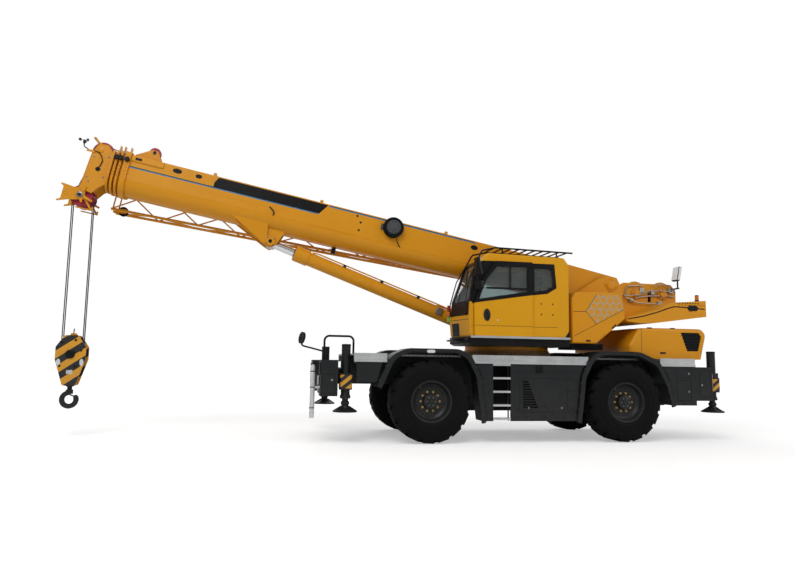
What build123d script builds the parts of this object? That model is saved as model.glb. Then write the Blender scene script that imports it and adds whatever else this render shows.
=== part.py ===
from build123d import *
import math
import os

# Two-axle rough-terrain mobile crane, boom low over the front, outriggers stowed.
# Millimetres. +X forward, +Y to the driver's left, +Z up.
# The origin is on the ground below the slewing axis, midway between the axles.

# Wheels and axles
WHEELBASE = 3800
AXLE_X = WHEELBASE / 2
CARRIER_HALF = 1330
TYRE_R = 745
TYRE_W = 520
TRACK_HALF = CARRIER_HALF - 215
RIM_R = 372
RIM_W = 440
KINGPIN_Y = TRACK_HALF - 210
KINGPIN_R = 42
SPINDLE_R = 95
AXLE_TUBE_R = 125
SHAFT_R = 55
STEER_OUT = 230
LUG_COUNT = 16
LUG_DEPTH = 42
LUG_GAP = 80
LUG_REACH = 185
LUG_SLANT = 20
TYRE_FACETS = 2 * LUG_COUNT

# Carrier
FRAME_HALF = 400
FRAME_BOTTOM = 1020
FRAME_BELLY = 640
FRAME_WALL = 25
BELLY_X = 900
SLOPE_X = 1120
DECK_Z = 1550
DECK_T = 30
FENDER_IN = CARRIER_HALF - 530
FENDER_OUT = CARRIER_HALF + 40
PANEL_BOTTOM = 400
PANEL_TOP = 1435
TRIM_T = 22

# Outriggers
BEAM_W = 150
BEAM_H = 230
BEAM_Z = 1175
CABINET_D = 355
BOX_HALF = CARRIER_HALF - CABINET_D
BOX_WALL = 20
RUN_GAP = 5
SEAT_GAP = 0.3
JACK_Y = BOX_HALF + 160
JACK_R = 80
JACK_ROD_R = 55
JACK_TOP = 1725
JACK_BOTTOM = 790
FLOAT_R = 215
FLOAT_Z = 550
FRONT_LEFT_X = AXLE_X + 1530
FRONT_RIGHT_X = FRONT_LEFT_X + 175
REAR_LEFT_X = -AXLE_X - 1980
REAR_RIGHT_X = REAR_LEFT_X - 175

# Superstructure
RING_R = 860
RING_BORE = 620
RING_TOP = 1700
TURNTABLE_Z = 1800
TURNTABLE_FLOOR = 45
CHEEK_IN = 360
CHEEK_T = 40
CAB_IN = 430
CAB_OUT = 1285
CAB_WALL = 50
CAB_FLOOR_Z = 1930
CAB_BASE_Z = 1765
DOOR_T = 45
COVER_OUT = 1195
WEIGHT_HALF = 1200
WEIGHT_BOTTOM = 2265
TAIL_HALF = 420
WINCH_Z = 2960
WINCH_R = 255

# Boom, in its own frame: origin at the foot pin, X along the boom, Z out of its back
BOOM_ANGLE = 11
BOOM_FOOT = (-2160, 0, 3090)
FOOT_PIN_R = 90
BOOM_TOP = 240
BOOM_W = 620
BOOM_H = 760
BOOM_WALL = 12
SECTION_STEP = 65
SECTION_STEP_H = 85
BASE_START = 620
BASE_END = 9900
COLLAR_PITCH = 80
HEAD_SHEAVE = (BASE_END + 600, -716)
TOP_SHEAVE = (BASE_END + 460, 195)
SHEAVE_R = 195
GROOVE_R = 168
ROPE_R = 10
JIB_LUG = (HEAD_SHEAVE[0] + 245, HEAD_SHEAVE[1] - 19)
JIB_LUG_R = 30
LIFT_PIN = (6990, -725)
LUG_OUT = 185
WING_TOP = -110
WING_FRONT = 8340
WING_REAR = 7150
WING_T = 25
LIFT_FOOT = (450, 0, 2060)
LIFT_PIN_R = 70
BARREL_R = 135
LIFT_ROD_R = 78

# Hook block
BLOCK_SHEAVE_Z = 1490
ROPE_LINE = GROOVE_R + ROPE_R + SEAT_GAP
SWIVEL_R = 42

# Carrier details
WHEEL_Z = TYRE_R
FENDER_BEND = 350
DECK_FRONT = AXLE_X + 1410
DECK_REAR = -AXLE_X - 1490
MID_DECK = AXLE_X - 760
FRONT_DECK = AXLE_X + 820
REAR_DECK = -AXLE_X - 740
LADDER_REAR = 410
LADDER_FRONT = 745
RUNG_COUNT = 5
RUNG_PITCH = 245
VENT_REAR = -115
VENT_FRONT = 172
VENT_LEAN = 0.375
VENT_Z = 640
VENT_PITCH = 46
VENT_COUNT = 11
RECESS = (-223, -77, 1269, 1405)
FRONT_BOX_FACE = FRONT_RIGHT_X + BEAM_W / 2 + RUN_GAP + BOX_WALL
REAR_BOX_FACE = REAR_RIGHT_X - BEAM_W / 2 - RUN_GAP - BOX_WALL
TOW_Y = 420
TOW_T = 40
TOW_R = 30
TOW_OUT = 70
TOW_W = 190
CABINET_REAR = FRONT_LEFT_X + 155
CABINET_FRONT = FRONT_LEFT_X + 460
CABINET_TOP = 1460
HOOD_HALF = CARRIER_HALF - 150
HOOD_SLATS = 6
HOOD_CORNER = 130
HOOD_ROUND = 60
RAIL_TOP = 1890
MIRROR_R = 105
POST_R = 38
POST_X = CABINET_FRONT + 128
POST_TOP = 1375

# Superstructure details
SLOT_COUNT = 9
WINCH_X = (-2770, -3370)
WINCH_PLATE_Y = (315, 345)
CAB_ROUND = 35
COOLER_Z = 1735
ROOF_RAIL_Y = (560, 1160)
GUARD_R = 16
CAB_NOSE_X = 1478
GUARD_SLATS = 10
MIRROR_Y = 1400
WEIGHT_TOP = 2755
BEACON = (-3850, 820)
FLOOD = (-3625, 520, 3085)
SIGNAL_Z = 2230
SIGNAL_R = 26
COVER_BEVEL = 20

# Boom and hook details
REEL = (4730, 80)
REEL_R = 200
GUIDE_ALONG = 9480
HANGER = 5760
HEAD_SHEAVE_Y = (-150, -50, 50, 150)
JIB_START = 10100
JIB_END = 2700
JIB_BAYS = 9
JIB_CHORD_R = 26
JIB_BRACE_R = 14
HOOK_Z = 680
HOOK_R = 120
HOOK_BAR_R = 46
HOOK_ARC = 292
HOOK_TIP_R = 41


def block(x0, x1, y0, y1, z0, z1):
    """Box between two corners."""
    return Pos((x0 + x1) / 2, (y0 + y1) / 2, (z0 + z1) / 2) * Box(abs(x1 - x0), abs(y1 - y0), abs(z1 - z0))


def side_plane(y):
    """Drawing plane whose axes are X and Z, extruding towards the right of the vehicle."""
    return Plane(origin=(0, y, 0), x_dir=(1, 0, 0), z_dir=(0, -1, 0))


def side_prism(points, y0, y1, radius=0):
    """Outline in X and Z carried from y0 to y1, with its corners rounded."""
    face = Polygon(*points, align=None)
    if radius:
        face = fillet(face.vertices(), radius)
    return extrude(side_plane(y1) * face, y1 - y0, dir=(0, -1, 0))


def side_band(points, width, y0, y1, radius):
    """Bent strip along a line in X and Z, carried from y0 to y1."""
    line = FilletPolyline(*points, radius=radius)
    return extrude(side_plane(y1) * trace(line, width), y1 - y0, dir=(0, -1, 0))


def rod(start, end, radius):
    """Round bar between two points."""
    along = Vector(*end) - Vector(*start)
    place = Plane(origin=start, z_dir=along)
    return place * Cylinder(radius, along.length, align=(Align.CENTER, Align.CENTER, Align.MIN))


def cross_rod(x, z, radius, y0, y1):
    """Round bar across the vehicle."""
    return rod((x, y0, z), (x, y1, z), radius)


def pipe(points, radius, bend):
    """Bent tube along a line through the points."""
    line = FilletPolyline(*points, radius=bend)
    start = Plane(origin=line @ 0, z_dir=line % 0)
    return sweep(start * Circle(radius), path=line)


def other_side(piece):
    """The same piece on the other side of the vehicle."""
    return mirror(piece, about=Plane.XZ)


def both_sides(piece):
    """A piece and its twin on the other side."""
    return piece + other_side(piece)


def turned(points, x=0, y=0, z=0):
    """Solid of revolution about an axis across the vehicle, from (across, radius) points."""
    place = Plane(origin=(x, y, z), x_dir=(0, 1, 0), z_dir=(1, 0, 0))
    face = place * Polygon(*points, align=None)
    return revolve(face, axis=Axis((x, y, z), (0, 1, 0)))


BOOM = Pos(*BOOM_FOOT) * Rot(0, -BOOM_ANGLE, 0)


def boom_point(along, out):
    """Point on the boom's middle plane, in the vehicle's frame."""
    angle = math.radians(BOOM_ANGLE)
    x = BOOM_FOOT[0] + along * math.cos(angle) - out * math.sin(angle)
    z = BOOM_FOOT[2] + along * math.sin(angle) + out * math.cos(angle)
    return x, z


# Carrier

def chassis_frame():
    front = FRONT_LEFT_X - BEAM_W / 2 - RUN_GAP - BOX_WALL
    rear = REAR_LEFT_X + BEAM_W / 2 + RUN_GAP + BOX_WALL
    top = DECK_Z
    belly = BELLY_X
    slope = SLOPE_X
    outline = [(rear, FRAME_BOTTOM), (-slope, FRAME_BOTTOM), (-belly, FRAME_BELLY), (belly, FRAME_BELLY),
               (slope, FRAME_BOTTOM), (front, FRAME_BOTTOM), (front, top), (rear, top)]
    wall = FRAME_WALL
    hollow = [(rear - wall, FRAME_BOTTOM + wall), (-slope + wall, FRAME_BOTTOM + wall),
              (-belly + wall, FRAME_BELLY + wall), (belly - wall, FRAME_BELLY + wall),
              (slope - wall, FRAME_BOTTOM + wall), (front + wall, FRAME_BOTTOM + wall),
              (front + wall, top - wall), (rear - wall, top - wall)]
    frame = side_prism(outline, -FRAME_HALF, FRAME_HALF)
    frame -= side_prism(hollow, -FRAME_HALF + wall, FRAME_HALF - wall)
    for x in (WHEELBASE / 2, -WHEELBASE / 2):
        seat = block(x - 150, x + 150, 250, FRAME_HALF, WHEEL_Z + AXLE_TUBE_R, FRAME_BOTTOM)
        frame += both_sides(seat)
    return frame


def axle(x):
    half = KINGPIN_Y - 150
    tube = cross_rod(x, WHEEL_Z, AXLE_TUBE_R, -half, half)
    centre = turned([(-230, 0), (-230, 120), (-120, 235), (120, 235), (230, 120), (230, 0)], x, 0, WHEEL_Z)
    yoke = block(x - 95, x + 95, half - 60, half, WHEEL_Z - 235, WHEEL_Z + 235)
    for side in (1, -1):
        z = WHEEL_Z + side * 205
        arm = block(x - 75, x + 75, half - 60, KINGPIN_Y, z - 30, z + 30)
        arm += rod((x, KINGPIN_Y, z - 30), (x, KINGPIN_Y, z + 30), 75)
        arm -= rod((x, KINGPIN_Y, z - 40), (x, KINGPIN_Y, z + 40), KINGPIN_R + SEAT_GAP)
        yoke += arm
    return tube + centre + both_sides(yoke) + drive_shaft(x) + steering_cylinder(x)


def drive_shaft(x):
    """Shaft from the axle's housing to the sloping end of the frame's belly."""
    way = 1 if x > 0 else -1
    start = (x - way * 200, 0, WHEEL_Z)
    shaft = rod(start, (way * BELLY_X, 0, WHEEL_Z), SHAFT_R)
    for along in (x - way * 290, way * (SLOPE_X + 20)):
        shaft += rod((along - 20, 0, WHEEL_Z), (along + 20, 0, WHEEL_Z), 1.7 * SHAFT_R)
    belly = [(0, FRAME_BELLY), (way * BELLY_X, FRAME_BELLY), (way * SLOPE_X, FRAME_BOTTOM), (0, FRAME_BOTTOM)]
    return shaft - side_prism(belly, -FRAME_HALF, FRAME_HALF)


def steering_cylinder(x):
    """Cylinder across the far side of the axle tube, on two clamps."""
    way = 1 if x > 0 else -1
    cylinder = cross_rod(x + way * STEER_OUT, WHEEL_Z, 45, -430, 430)
    cylinder += cross_rod(x + way * STEER_OUT, WHEEL_Z, 26, -520, 520)
    clamp = block(x + way * 60, x + way * STEER_OUT, 330, 370, WHEEL_Z - 60, WHEEL_Z + 60)
    return cylinder + both_sides(clamp)


def knuckle(x):
    """Left steering knuckle: kingpin, block and wheel spindle."""
    body = rod((x, KINGPIN_Y, WHEEL_Z - 165), (x, KINGPIN_Y, WHEEL_Z + 165), 105)
    body += rod((x, KINGPIN_Y, WHEEL_Z - 235), (x, KINGPIN_Y, WHEEL_Z + 235), KINGPIN_R)
    flange = cross_rod(x, WHEEL_Z, 150, KINGPIN_Y + 60, KINGPIN_Y + 110)
    spindle = cross_rod(x, WHEEL_Z, SPINDLE_R, KINGPIN_Y, TRACK_HALF + 90)
    return body + flange + spindle


def tyre_wedge():
    """One flat-sided wedge of the tyre's casing, about the tyre's own middle."""
    half = TYRE_W / 2
    bead = RIM_W / 2
    profile = [(-bead, RIM_R), (bead, RIM_R), (half, RIM_R + 130), (half - 12, TYRE_R - 80), (half - 75, TYRE_R),
               (-half + 75, TYRE_R), (-half + 12, TYRE_R - 80), (-half, RIM_R + 130)]
    face = Plane(origin=(-TYRE_R, 0, 0), x_dir=(0, 1, 0), z_dir=(1, 0, 0)) * Polygon(*profile, align=None)
    angle = 180 / TYRE_FACETS
    side = TYRE_R * math.tan(math.radians(angle))
    sector = side_prism([(0, 0), (2 * side, 2 * TYRE_R), (-2 * side, 2 * TYRE_R)], -half, half)
    return extrude(face, 2 * TYRE_R) & sector


def tyre_shape():
    """Tyre about its own middle: a casing of flat wedges whose shoulders slanted grooves cut into lugs."""
    wedge = tyre_wedge()
    wedges = [Rot(0, i * 360 / TYRE_FACETS, 0) * wedge for i in range(TYRE_FACETS)]
    grooves = []
    for side in (1, -1):
        groove = Pos(0, side * TYRE_W / 2, TYRE_R) * Rot(0, 0, side * LUG_SLANT)
        groove *= Box(LUG_GAP, 2 * LUG_REACH, 2 * LUG_DEPTH)
        for i in range(LUG_COUNT):
            grooves.append(Rot(0, (i + side / 4) * 360 / LUG_COUNT, 0) * groove)
    return wedges[0].fuse(*wedges[1:]).cut(*grooves)


TYRE = tyre_shape()


def tyre(x):
    return Pos(x, TRACK_HALF, WHEEL_Z) * TYRE


def rim(x):
    """Left rim: barrel with its lips, dished web and hub cap."""
    out = RIM_W / 2
    bore = SPINDLE_R + SEAT_GAP
    profile = [(-out, RIM_R), (out, RIM_R), (out, RIM_R - 25), (out - 40, RIM_R - 40),
               (130, RIM_R - 60), (95, RIM_R - 110), (95, 135), (175, 130), (185, 100), (185, 0), (95, 0),
               (95, bore), (55, bore), (55, RIM_R - 110), (60, RIM_R - 50), (-out, RIM_R - 35)]
    return turned(profile, x, TRACK_HALF, WHEEL_Z)


FRONT_ARCH = [(AXLE_X + x, z) for x, z in
              ((-1005, 390), (-945, 850), (-900, 1230), (-720, 1580), (-500, 1680), (450, 1680),
               (750, 1550), (985, 1010))]
REAR_ARCH = [(-AXLE_X - x, z) for x, z in
             ((-1005, 390), (-945, 850), (-900, 1230), (-720, 1580), (-500, 1690), (300, 1690),
              (700, 1520), (920, 1100), (1025, 690))]


def fender(arch):
    """Left mudguard: arched sheet, deep outer lip and the wall that stands on the deck."""
    sheet = side_band(arch, 20, FENDER_IN, FENDER_OUT, FENDER_BEND)
    lip_line = [(x + (38 if abs(x) < AXLE_X else -38) * (1 if x > 0 else -1), z - 25) for x, z in arch]
    lip = side_band(lip_line, 70, FENDER_OUT - 35, FENDER_OUT, FENDER_BEND)
    line = FilletPolyline(*arch, radius=FENDER_BEND)
    under = make_face(line.edges() + Line(line @ 1, line @ 0).edges())
    wall = extrude(side_plane(FENDER_IN + 15) * under, 15, dir=(0, -1, 0))
    wall &= block(arch[0][0], arch[-1][0], FENDER_IN, FENDER_IN + 15, DECK_Z + DECK_T, 2 * DECK_Z)
    return sheet + lip + wall


def arch_space(arch, margin, y0, y1):
    """Solid that fills a wheel arch out to a margin beyond its sheet."""
    return both_sides(side_cut(arch, margin, y0, y1))


def fenders():
    return both_sides(fender(FRONT_ARCH)) + both_sides(fender(REAR_ARCH))


def deck():
    """Walkway plates: a middle strip and the outer strips between the arches."""
    plates = block(DECK_REAR, DECK_FRONT, -FENDER_IN, FENDER_IN, DECK_Z, DECK_Z + DECK_T)
    edge = CARRIER_HALF - TRIM_T
    for x0, x1 in ((-MID_DECK, MID_DECK), (FRONT_DECK, DECK_FRONT), (DECK_REAR, REAR_DECK)):
        plates += both_sides(block(x0, x1, FENDER_IN, edge, DECK_Z, DECK_Z + DECK_T))
    return plates - arch_space(FRONT_ARCH, 20, FENDER_IN, 1500) - arch_space(REAR_ARCH, 20, FENDER_IN, 1500)


def deck_trim():
    """Bright edge rails under the deck's rim."""
    rails = None
    for x0, x1 in ((-MID_DECK, MID_DECK), (FRONT_DECK, DECK_FRONT), (DECK_REAR, REAR_DECK)):
        rail = block(x0, x1, CARRIER_HALF - TRIM_T, CARRIER_HALF, PANEL_TOP, DECK_Z + DECK_T + 10)
        rail += block(x0, x1, CARRIER_HALF, CARRIER_HALF + 14, PANEL_TOP, PANEL_TOP + 30)
        rails = rail if rails is None else rails + rail
    rails = both_sides(rails)
    return rails - arch_space(FRONT_ARCH, 20, FENDER_IN, 1500) - arch_space(REAR_ARCH, 20, FENDER_IN, 1500)


def side_panels():
    """Skirt panels between and behind the wheels, left side, hung under the edge rails."""
    outer = CARRIER_HALF
    inner = CARRIER_HALF - 330
    edge = [(AXLE_X - 1030, PANEL_BOTTOM), (AXLE_X - 970, 850), (AXLE_X - 930, 1230), (AXLE_X - 840, PANEL_TOP)]
    front = [(LADDER_FRONT, PANEL_BOTTOM)] + edge + [(LADDER_FRONT, PANEL_TOP)]
    middle = [(LADDER_REAR, PANEL_BOTTOM), (LADDER_REAR, PANEL_TOP)] + [(-x, z) for x, z in reversed(edge)]
    rear = [(-AXLE_X - x, z) for x, z in
            ((800, PANEL_TOP), (1500, PANEL_TOP), (1500, 690), (1060, 690), (960, 1120))]
    nose = [(AXLE_X + x, z) for x, z in ((1360, PANEL_TOP), (900, PANEL_TOP), (1005, 1080), (1360, 1080))]
    panels = None
    for outline in (front, middle, rear, nose):
        panel = side_prism(outline, inner, outer)
        x0 = min(x for x, z in outline)
        x1 = max(x for x, z in outline)
        z0 = min(z for x, z in outline)
        panel -= block(x0 - 10, x1 + 10, inner - 1, outer - 30, z0 - 10, PANEL_TOP - 30)
        panels = panel if panels is None else panels + panel
    for i in range(VENT_COUNT):
        z = VENT_Z + i * VENT_PITCH
        rear_end = VENT_REAR + (z - VENT_Z) * VENT_LEAN
        panels -= block(rear_end, VENT_FRONT, outer - 40, outer + 1, z, z + VENT_PITCH / 2)
    panels -= block(RECESS[0], RECESS[1], outer - 14, outer + 1, RECESS[2], RECESS[3])
    return both_sides(panels)


def ladder():
    """Boarding rungs in the gap of the skirt panels."""
    rungs = None
    for i in range(RUNG_COUNT):
        z = PANEL_BOTTOM + 20 + i * RUNG_PITCH
        rung = block(LADDER_REAR, LADDER_FRONT, CARRIER_HALF - 120, CARRIER_HALF, z, z + 35)
        rungs = rung if rungs is None else rungs + rung
    return both_sides(rungs)


def outrigger_box(left_x, right_x):
    """Cross box with a channel for each beam, open at that beam's side."""
    x0 = min(left_x, right_x) - BEAM_W / 2 - RUN_GAP - BOX_WALL
    x1 = max(left_x, right_x) + BEAM_W / 2 + RUN_GAP + BOX_WALL
    z0 = BEAM_Z - BEAM_H / 2 - RUN_GAP - BOX_WALL
    z1 = BEAM_Z + BEAM_H / 2 + RUN_GAP + BOX_WALL
    box = block(x0, x1, -BOX_HALF, BOX_HALF, z0, z1)
    for x, side in ((left_x, 1), (right_x, -1)):
        half = BEAM_W / 2 + RUN_GAP
        box -= block(x - half, x + half, -side * (BOX_HALF - 35), side * (BOX_HALF + 1),
                     BEAM_Z - BEAM_H / 2 - RUN_GAP, BEAM_Z + BEAM_H / 2 + RUN_GAP)
        floor = BEAM_Z - BEAM_H / 2
        box += block(x - half, x + half, side * (BOX_HALF - 120), side * BOX_HALF,
                     floor - RUN_GAP - 1, floor - SEAT_GAP)
    return box


def tow_eye(face, way):
    """Left towing plate that stands out from a cross box, with its hole upright."""
    half = TOW_W / 2
    reach = way * TOW_OUT
    outline = [(face, TOW_Y - half), (face + 2 * reach, TOW_Y - half / 2), (face + 2 * reach, TOW_Y + half / 2),
               (face, TOW_Y + half)]
    middle = BEAM_Z - 10
    plate = extrude(Pos(0, 0, middle - TOW_T / 2) * Polygon(*outline, align=None), TOW_T, dir=(0, 0, 1))
    hole = rod((face + reach, TOW_Y, middle - TOW_T), (face + reach, TOW_Y, middle + TOW_T), TOW_R)
    return plate - hole


def outrigger_boxes():
    boxes = outrigger_box(FRONT_LEFT_X, FRONT_RIGHT_X) + outrigger_box(REAR_LEFT_X, REAR_RIGHT_X)
    boxes += both_sides(tow_eye(FRONT_BOX_FACE, 1))
    boxes += both_sides(tow_eye(REAR_BOX_FACE, -1))
    return boxes


def outrigger_beam(x, side):
    """Sliding beam with the jack tube in the collar at its end."""
    beam = block(x - BEAM_W / 2, x + BEAM_W / 2, -(BOX_HALF - 75), JACK_Y - 20,
                 BEAM_Z - BEAM_H / 2, BEAM_Z + BEAM_H / 2)
    collar = block(x - 108, x + 108, JACK_Y - 110, JACK_Y + 110, 940, 1225)
    collar = fillet(collar.edges().filter_by(Axis.Z), 30)
    tube = rod((x, JACK_Y, JACK_BOTTOM), (x, JACK_Y, JACK_TOP), JACK_R)
    tube += rod((x, JACK_Y, JACK_BOTTOM), (x, JACK_Y, JACK_BOTTOM + 60), JACK_R + 12)
    piece = beam + collar + tube
    piece -= rod((x, JACK_Y, JACK_BOTTOM - 1), (x, JACK_Y, JACK_TOP - 25), JACK_ROD_R + RUN_GAP)
    gland = rod((x, JACK_Y, JACK_BOTTOM), (x, JACK_Y, JACK_BOTTOM + 60), JACK_R)
    gland -= rod((x, JACK_Y, JACK_BOTTOM - 1), (x, JACK_Y, JACK_BOTTOM + 61), JACK_ROD_R + SEAT_GAP)
    piece += gland
    return piece if side > 0 else other_side(piece)


def outrigger_jack(x, side):
    """Jack rod and its dished foot."""
    place = Plane(origin=(x, JACK_Y, 0), x_dir=(1, 0, 0), z_dir=(0, -1, 0))
    top = JACK_TOP - 80
    profile = [(0, FLOAT_Z), (FLOAT_R, FLOAT_Z), (FLOAT_R, FLOAT_Z + 22), (90, FLOAT_Z + 75), (60, FLOAT_Z + 120),
               (75, FLOAT_Z + 140), (75, FLOAT_Z + 175), (JACK_ROD_R, FLOAT_Z + 195), (JACK_ROD_R, top), (0, top)]
    piece = revolve(place * Polygon(*profile, align=None), axis=Axis((x, JACK_Y, 0), (0, 0, 1)))
    return piece if side > 0 else other_side(piece)


def cabinets():
    """Control and tool cabinets at the corners, seated on the ends of the cross boxes."""
    outer = BOX_HALF + CABINET_D
    pieces = block(CABINET_REAR, CABINET_FRONT, BOX_HALF, outer, 830, CABINET_TOP)
    right = block(FRONT_RIGHT_X + 120, CABINET_FRONT, BOX_HALF - 200, outer, 830, CABINET_TOP)
    right += block(FRONT_BOX_FACE, FRONT_RIGHT_X + 120, BOX_HALF - 200, BOX_HALF, 1060, 1320)
    pieces += other_side(right)
    pieces += both_sides(block(REAR_LEFT_X + 125, REAR_LEFT_X + 480, BOX_HALF, outer, 780, 1430))
    return pieces


HOOD_OUTLINE = [(-AXLE_X - x, z) for x, z in
                ((190, 1380), (190, 1840), (410, 2175), (860, 2185), (1780, 2185), (1880, 2080), (1700, 1380))]
HOOD_INSIDE = [(-AXLE_X - x, z) for x, z in
               ((250, 1570), (250, 1830), (440, 2120), (1740, 2125), (1810, 2060), (1700, 1570))]
HOOD_VENT = [(-AXLE_X - x, z) for x, z in ((1300, 2105), (1700, 2105), (1760, 2030), (1680, 1740), (1430, 1740))]


def battery_hood():
    hood = side_prism(HOOD_OUTLINE, -HOOD_HALF, HOOD_HALF, HOOD_CORNER)
    rims = hood.faces().sort_by(Axis.Y)
    hood = fillet(rims[0].edges() + rims[-1].edges(), HOOD_ROUND)
    hood -= block(HOOD_OUTLINE[-2][0], 0, -CARRIER_HALF, CARRIER_HALF, 0, DECK_Z + DECK_T)
    hood -= side_prism(HOOD_INSIDE, -HOOD_HALF + 40, HOOD_HALF - 40)
    window = side_prism(HOOD_VENT, HOOD_HALF - 41, HOOD_HALF + 1, 20)
    hood -= both_sides(window)
    slats = None
    for i in range(HOOD_SLATS):
        z = 1765 + i * 60
        slat = block(-AXLE_X - 1820, -AXLE_X - 1220, HOOD_HALF - 40, HOOD_HALF - 4, z, z + 14)
        slats = slat if slats is None else slats + slat
    hood += both_sides(slats & side_prism(HOOD_VENT, HOOD_HALF - 41, HOOD_HALF + 1, 20))
    return hood - arch_space(REAR_ARCH, 20, FENDER_IN - 10, 1500)


def battery_pack():
    return block(-AXLE_X - 1550, -AXLE_X - 520, -780, 780, DECK_Z + DECK_T, 2050)


def slewing_ring():
    return Pos(0, 0, DECK_Z + DECK_T) * (
        Cylinder(RING_R, RING_TOP - DECK_Z - DECK_T, align=(Align.CENTER, Align.CENTER, Align.MIN))
        - Cylinder(RING_BORE, 400))


def front_rail():
    """Grab rail and round mirror on the front cabinet, and the bracket of the guard post."""
    y = BOX_HALF + 25
    x0 = DECK_FRONT - 25
    x1 = CABINET_FRONT - 80
    rail = pipe([(x1, y, CABINET_TOP), (x1, y, RAIL_TOP), (x0, y, RAIL_TOP), (x0, y, DECK_Z + DECK_T)], 19, 90)
    y = CARRIER_HALF - 80
    x = CABINET_FRONT - 40
    arm = pipe([(x, y, CABINET_TOP), (x, y, CABINET_TOP + 150), (x + 370, y, CABINET_TOP + 240),
                (x + 400, y, CABINET_TOP + 380)], 15, 45)
    arm += Pos(x + 375, y, CABINET_TOP + 375) * Rot(0, 0, 22) * Rot(0, 80, 0) * Cylinder(MIRROR_R, 36)
    y = CARRIER_HALF - 130
    bracket = block(CABINET_FRONT, POST_X + 40, y - 40, y + 40, POST_TOP, POST_TOP + 18)
    bracket += block(CABINET_FRONT, CABINET_FRONT + 15, y - 80, y + 80, POST_TOP - 180, POST_TOP + 40)
    return rail + arm + bracket


def guard_post():
    """Marker post that hangs from the front bracket, with its strap to the cabinet."""
    y = CARRIER_HALF - 130
    post = rod((POST_X, y, 450), (POST_X, y, POST_TOP), POST_R)
    return post + block(CABINET_FRONT, POST_X, y - 15, y + 15, 965, 1000)


def lamps():
    """Head and tail lamps, and the side lamps on the mudguards."""
    side = Pos(AXLE_X + 30, FENDER_OUT + 22, 1640) * extrude(Plane.XZ * SlotOverall(150, 55), 22)
    head = block(CABINET_FRONT, CABINET_FRONT + 35, BOX_HALF + 25, BOX_HALF + 125, 1010, 1180)
    head = fillet(head.edges().filter_by(Axis.X), 25)
    low = block(CABINET_FRONT, CABINET_FRONT + 30, BOX_HALF + 35, BOX_HALF + 115, 880, 960)
    tail_x = REAR_LEFT_X + 125
    tail = block(tail_x - 12, tail_x, CARRIER_HALF - 75, CARRIER_HALF, 1020, 1300)
    return both_sides(side + head + low + tail)


# Superstructure

def turntable():
    """Ring plate, floor, the two cheeks that carry the boom foot and the lift cylinder, and the tail."""
    base = Pos(0, 0, RING_TOP + SEAT_GAP) * Cylinder(
        RING_R - 20, TURNTABLE_Z - RING_TOP - SEAT_GAP, align=(Align.CENTER, Align.CENTER, Align.MIN))
    floor = block(-1700, 900, -CHEEK_IN - CHEEK_T, CHEEK_IN + CHEEK_T, TURNTABLE_Z, TURNTABLE_Z + TURNTABLE_FLOOR)
    foot_x, foot_z = BOOM_FOOT[0], BOOM_FOOT[2]
    cheek_outline = [(900, TURNTABLE_Z), (900, 1960), (620, 2260), (300, 2300), (-900, 2600), (-1880, 3230),
                     (-2080, 3300), (-2290, 3260), (-2420, 3020), (-2420, 2420), (-1950, 2280), (-1700, TURNTABLE_Z)]
    cheek = side_prism(cheek_outline, CHEEK_IN, CHEEK_IN + CHEEK_T)
    piece = base + floor + both_sides(cheek)
    piece += cross_rod(foot_x, foot_z, FOOT_PIN_R, -CHEEK_IN - CHEEK_T - 30, CHEEK_IN + CHEEK_T + 30)
    piece += cross_rod(LIFT_FOOT[0], LIFT_FOOT[2], LIFT_PIN_R, -CHEEK_IN - CHEEK_T - 20, CHEEK_IN + CHEEK_T + 20)
    tail = block(-3700, -2300, -TAIL_HALF, TAIL_HALF, 2480, 2680)
    tail -= block(-3680, -2320, -TAIL_HALF + 25, TAIL_HALF - 25, 2460, 2655)
    return piece + tail


def counterweight():
    outline = [(-2040, 2300), (-2060, 2370), (-2700, 2540), (-3000, 2690), (-3780, 2755), (-3930, 2720),
               (-3910, 2450), (-2650, WEIGHT_BOTTOM + 15), (-2320, WEIGHT_BOTTOM)]
    weight = side_prism(outline, -WEIGHT_HALF, WEIGHT_HALF)
    weight = weight & (Pos(0, 0, 2500) * Cylinder(3960, 1200))
    weight -= block(-3700, -1900, -TAIL_HALF, TAIL_HALF, 2480, 3000)
    weight -= block(-2420, -1900, -TAIL_HALF, TAIL_HALF, 2200, 3000)
    recess = Pos(-3430, WEIGHT_HALF, 2590) * extrude(Plane.XZ * RegularPolygon(75, 6), 12, both=True)
    weight -= both_sides(recess)
    for i in range(SLOT_COUNT):
        x = -3150 - i * 70
        weight -= both_sides(block(x - 40, x, WEIGHT_HALF - 14, WEIGHT_HALF + 1, 2640, 2662))
    return weight


WINCH_PLATE = [(-2330, 2680), (-2330, 3090), (-2480, 3175), (-3580, 3165), (-3685, 3040), (-3685, 2680)]


def winch(x):
    drum = turned([(-300, 0), (-300, WINCH_R), (-270, WINCH_R), (-255, 150), (255, 150), (270, WINCH_R),
                   (300, WINCH_R), (300, 0)], x, 0, WINCH_Z)
    motor = cross_rod(x, WINCH_Z, 70, 300, 400) + cross_rod(x, WINCH_Z, 115, 345, 375)
    return drum + both_sides(motor)


def winches():
    """Main and auxiliary winch between two side plates."""
    plate = side_prism(WINCH_PLATE, WINCH_PLATE_Y[0], WINCH_PLATE_Y[1])
    plate -= block(-3110, -3030, WINCH_PLATE_Y[0] - 1, WINCH_PLATE_Y[1] + 1, 2780, 2980)
    return winch(WINCH_X[0]) + winch(WINCH_X[1]) + both_sides(plate)


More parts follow.
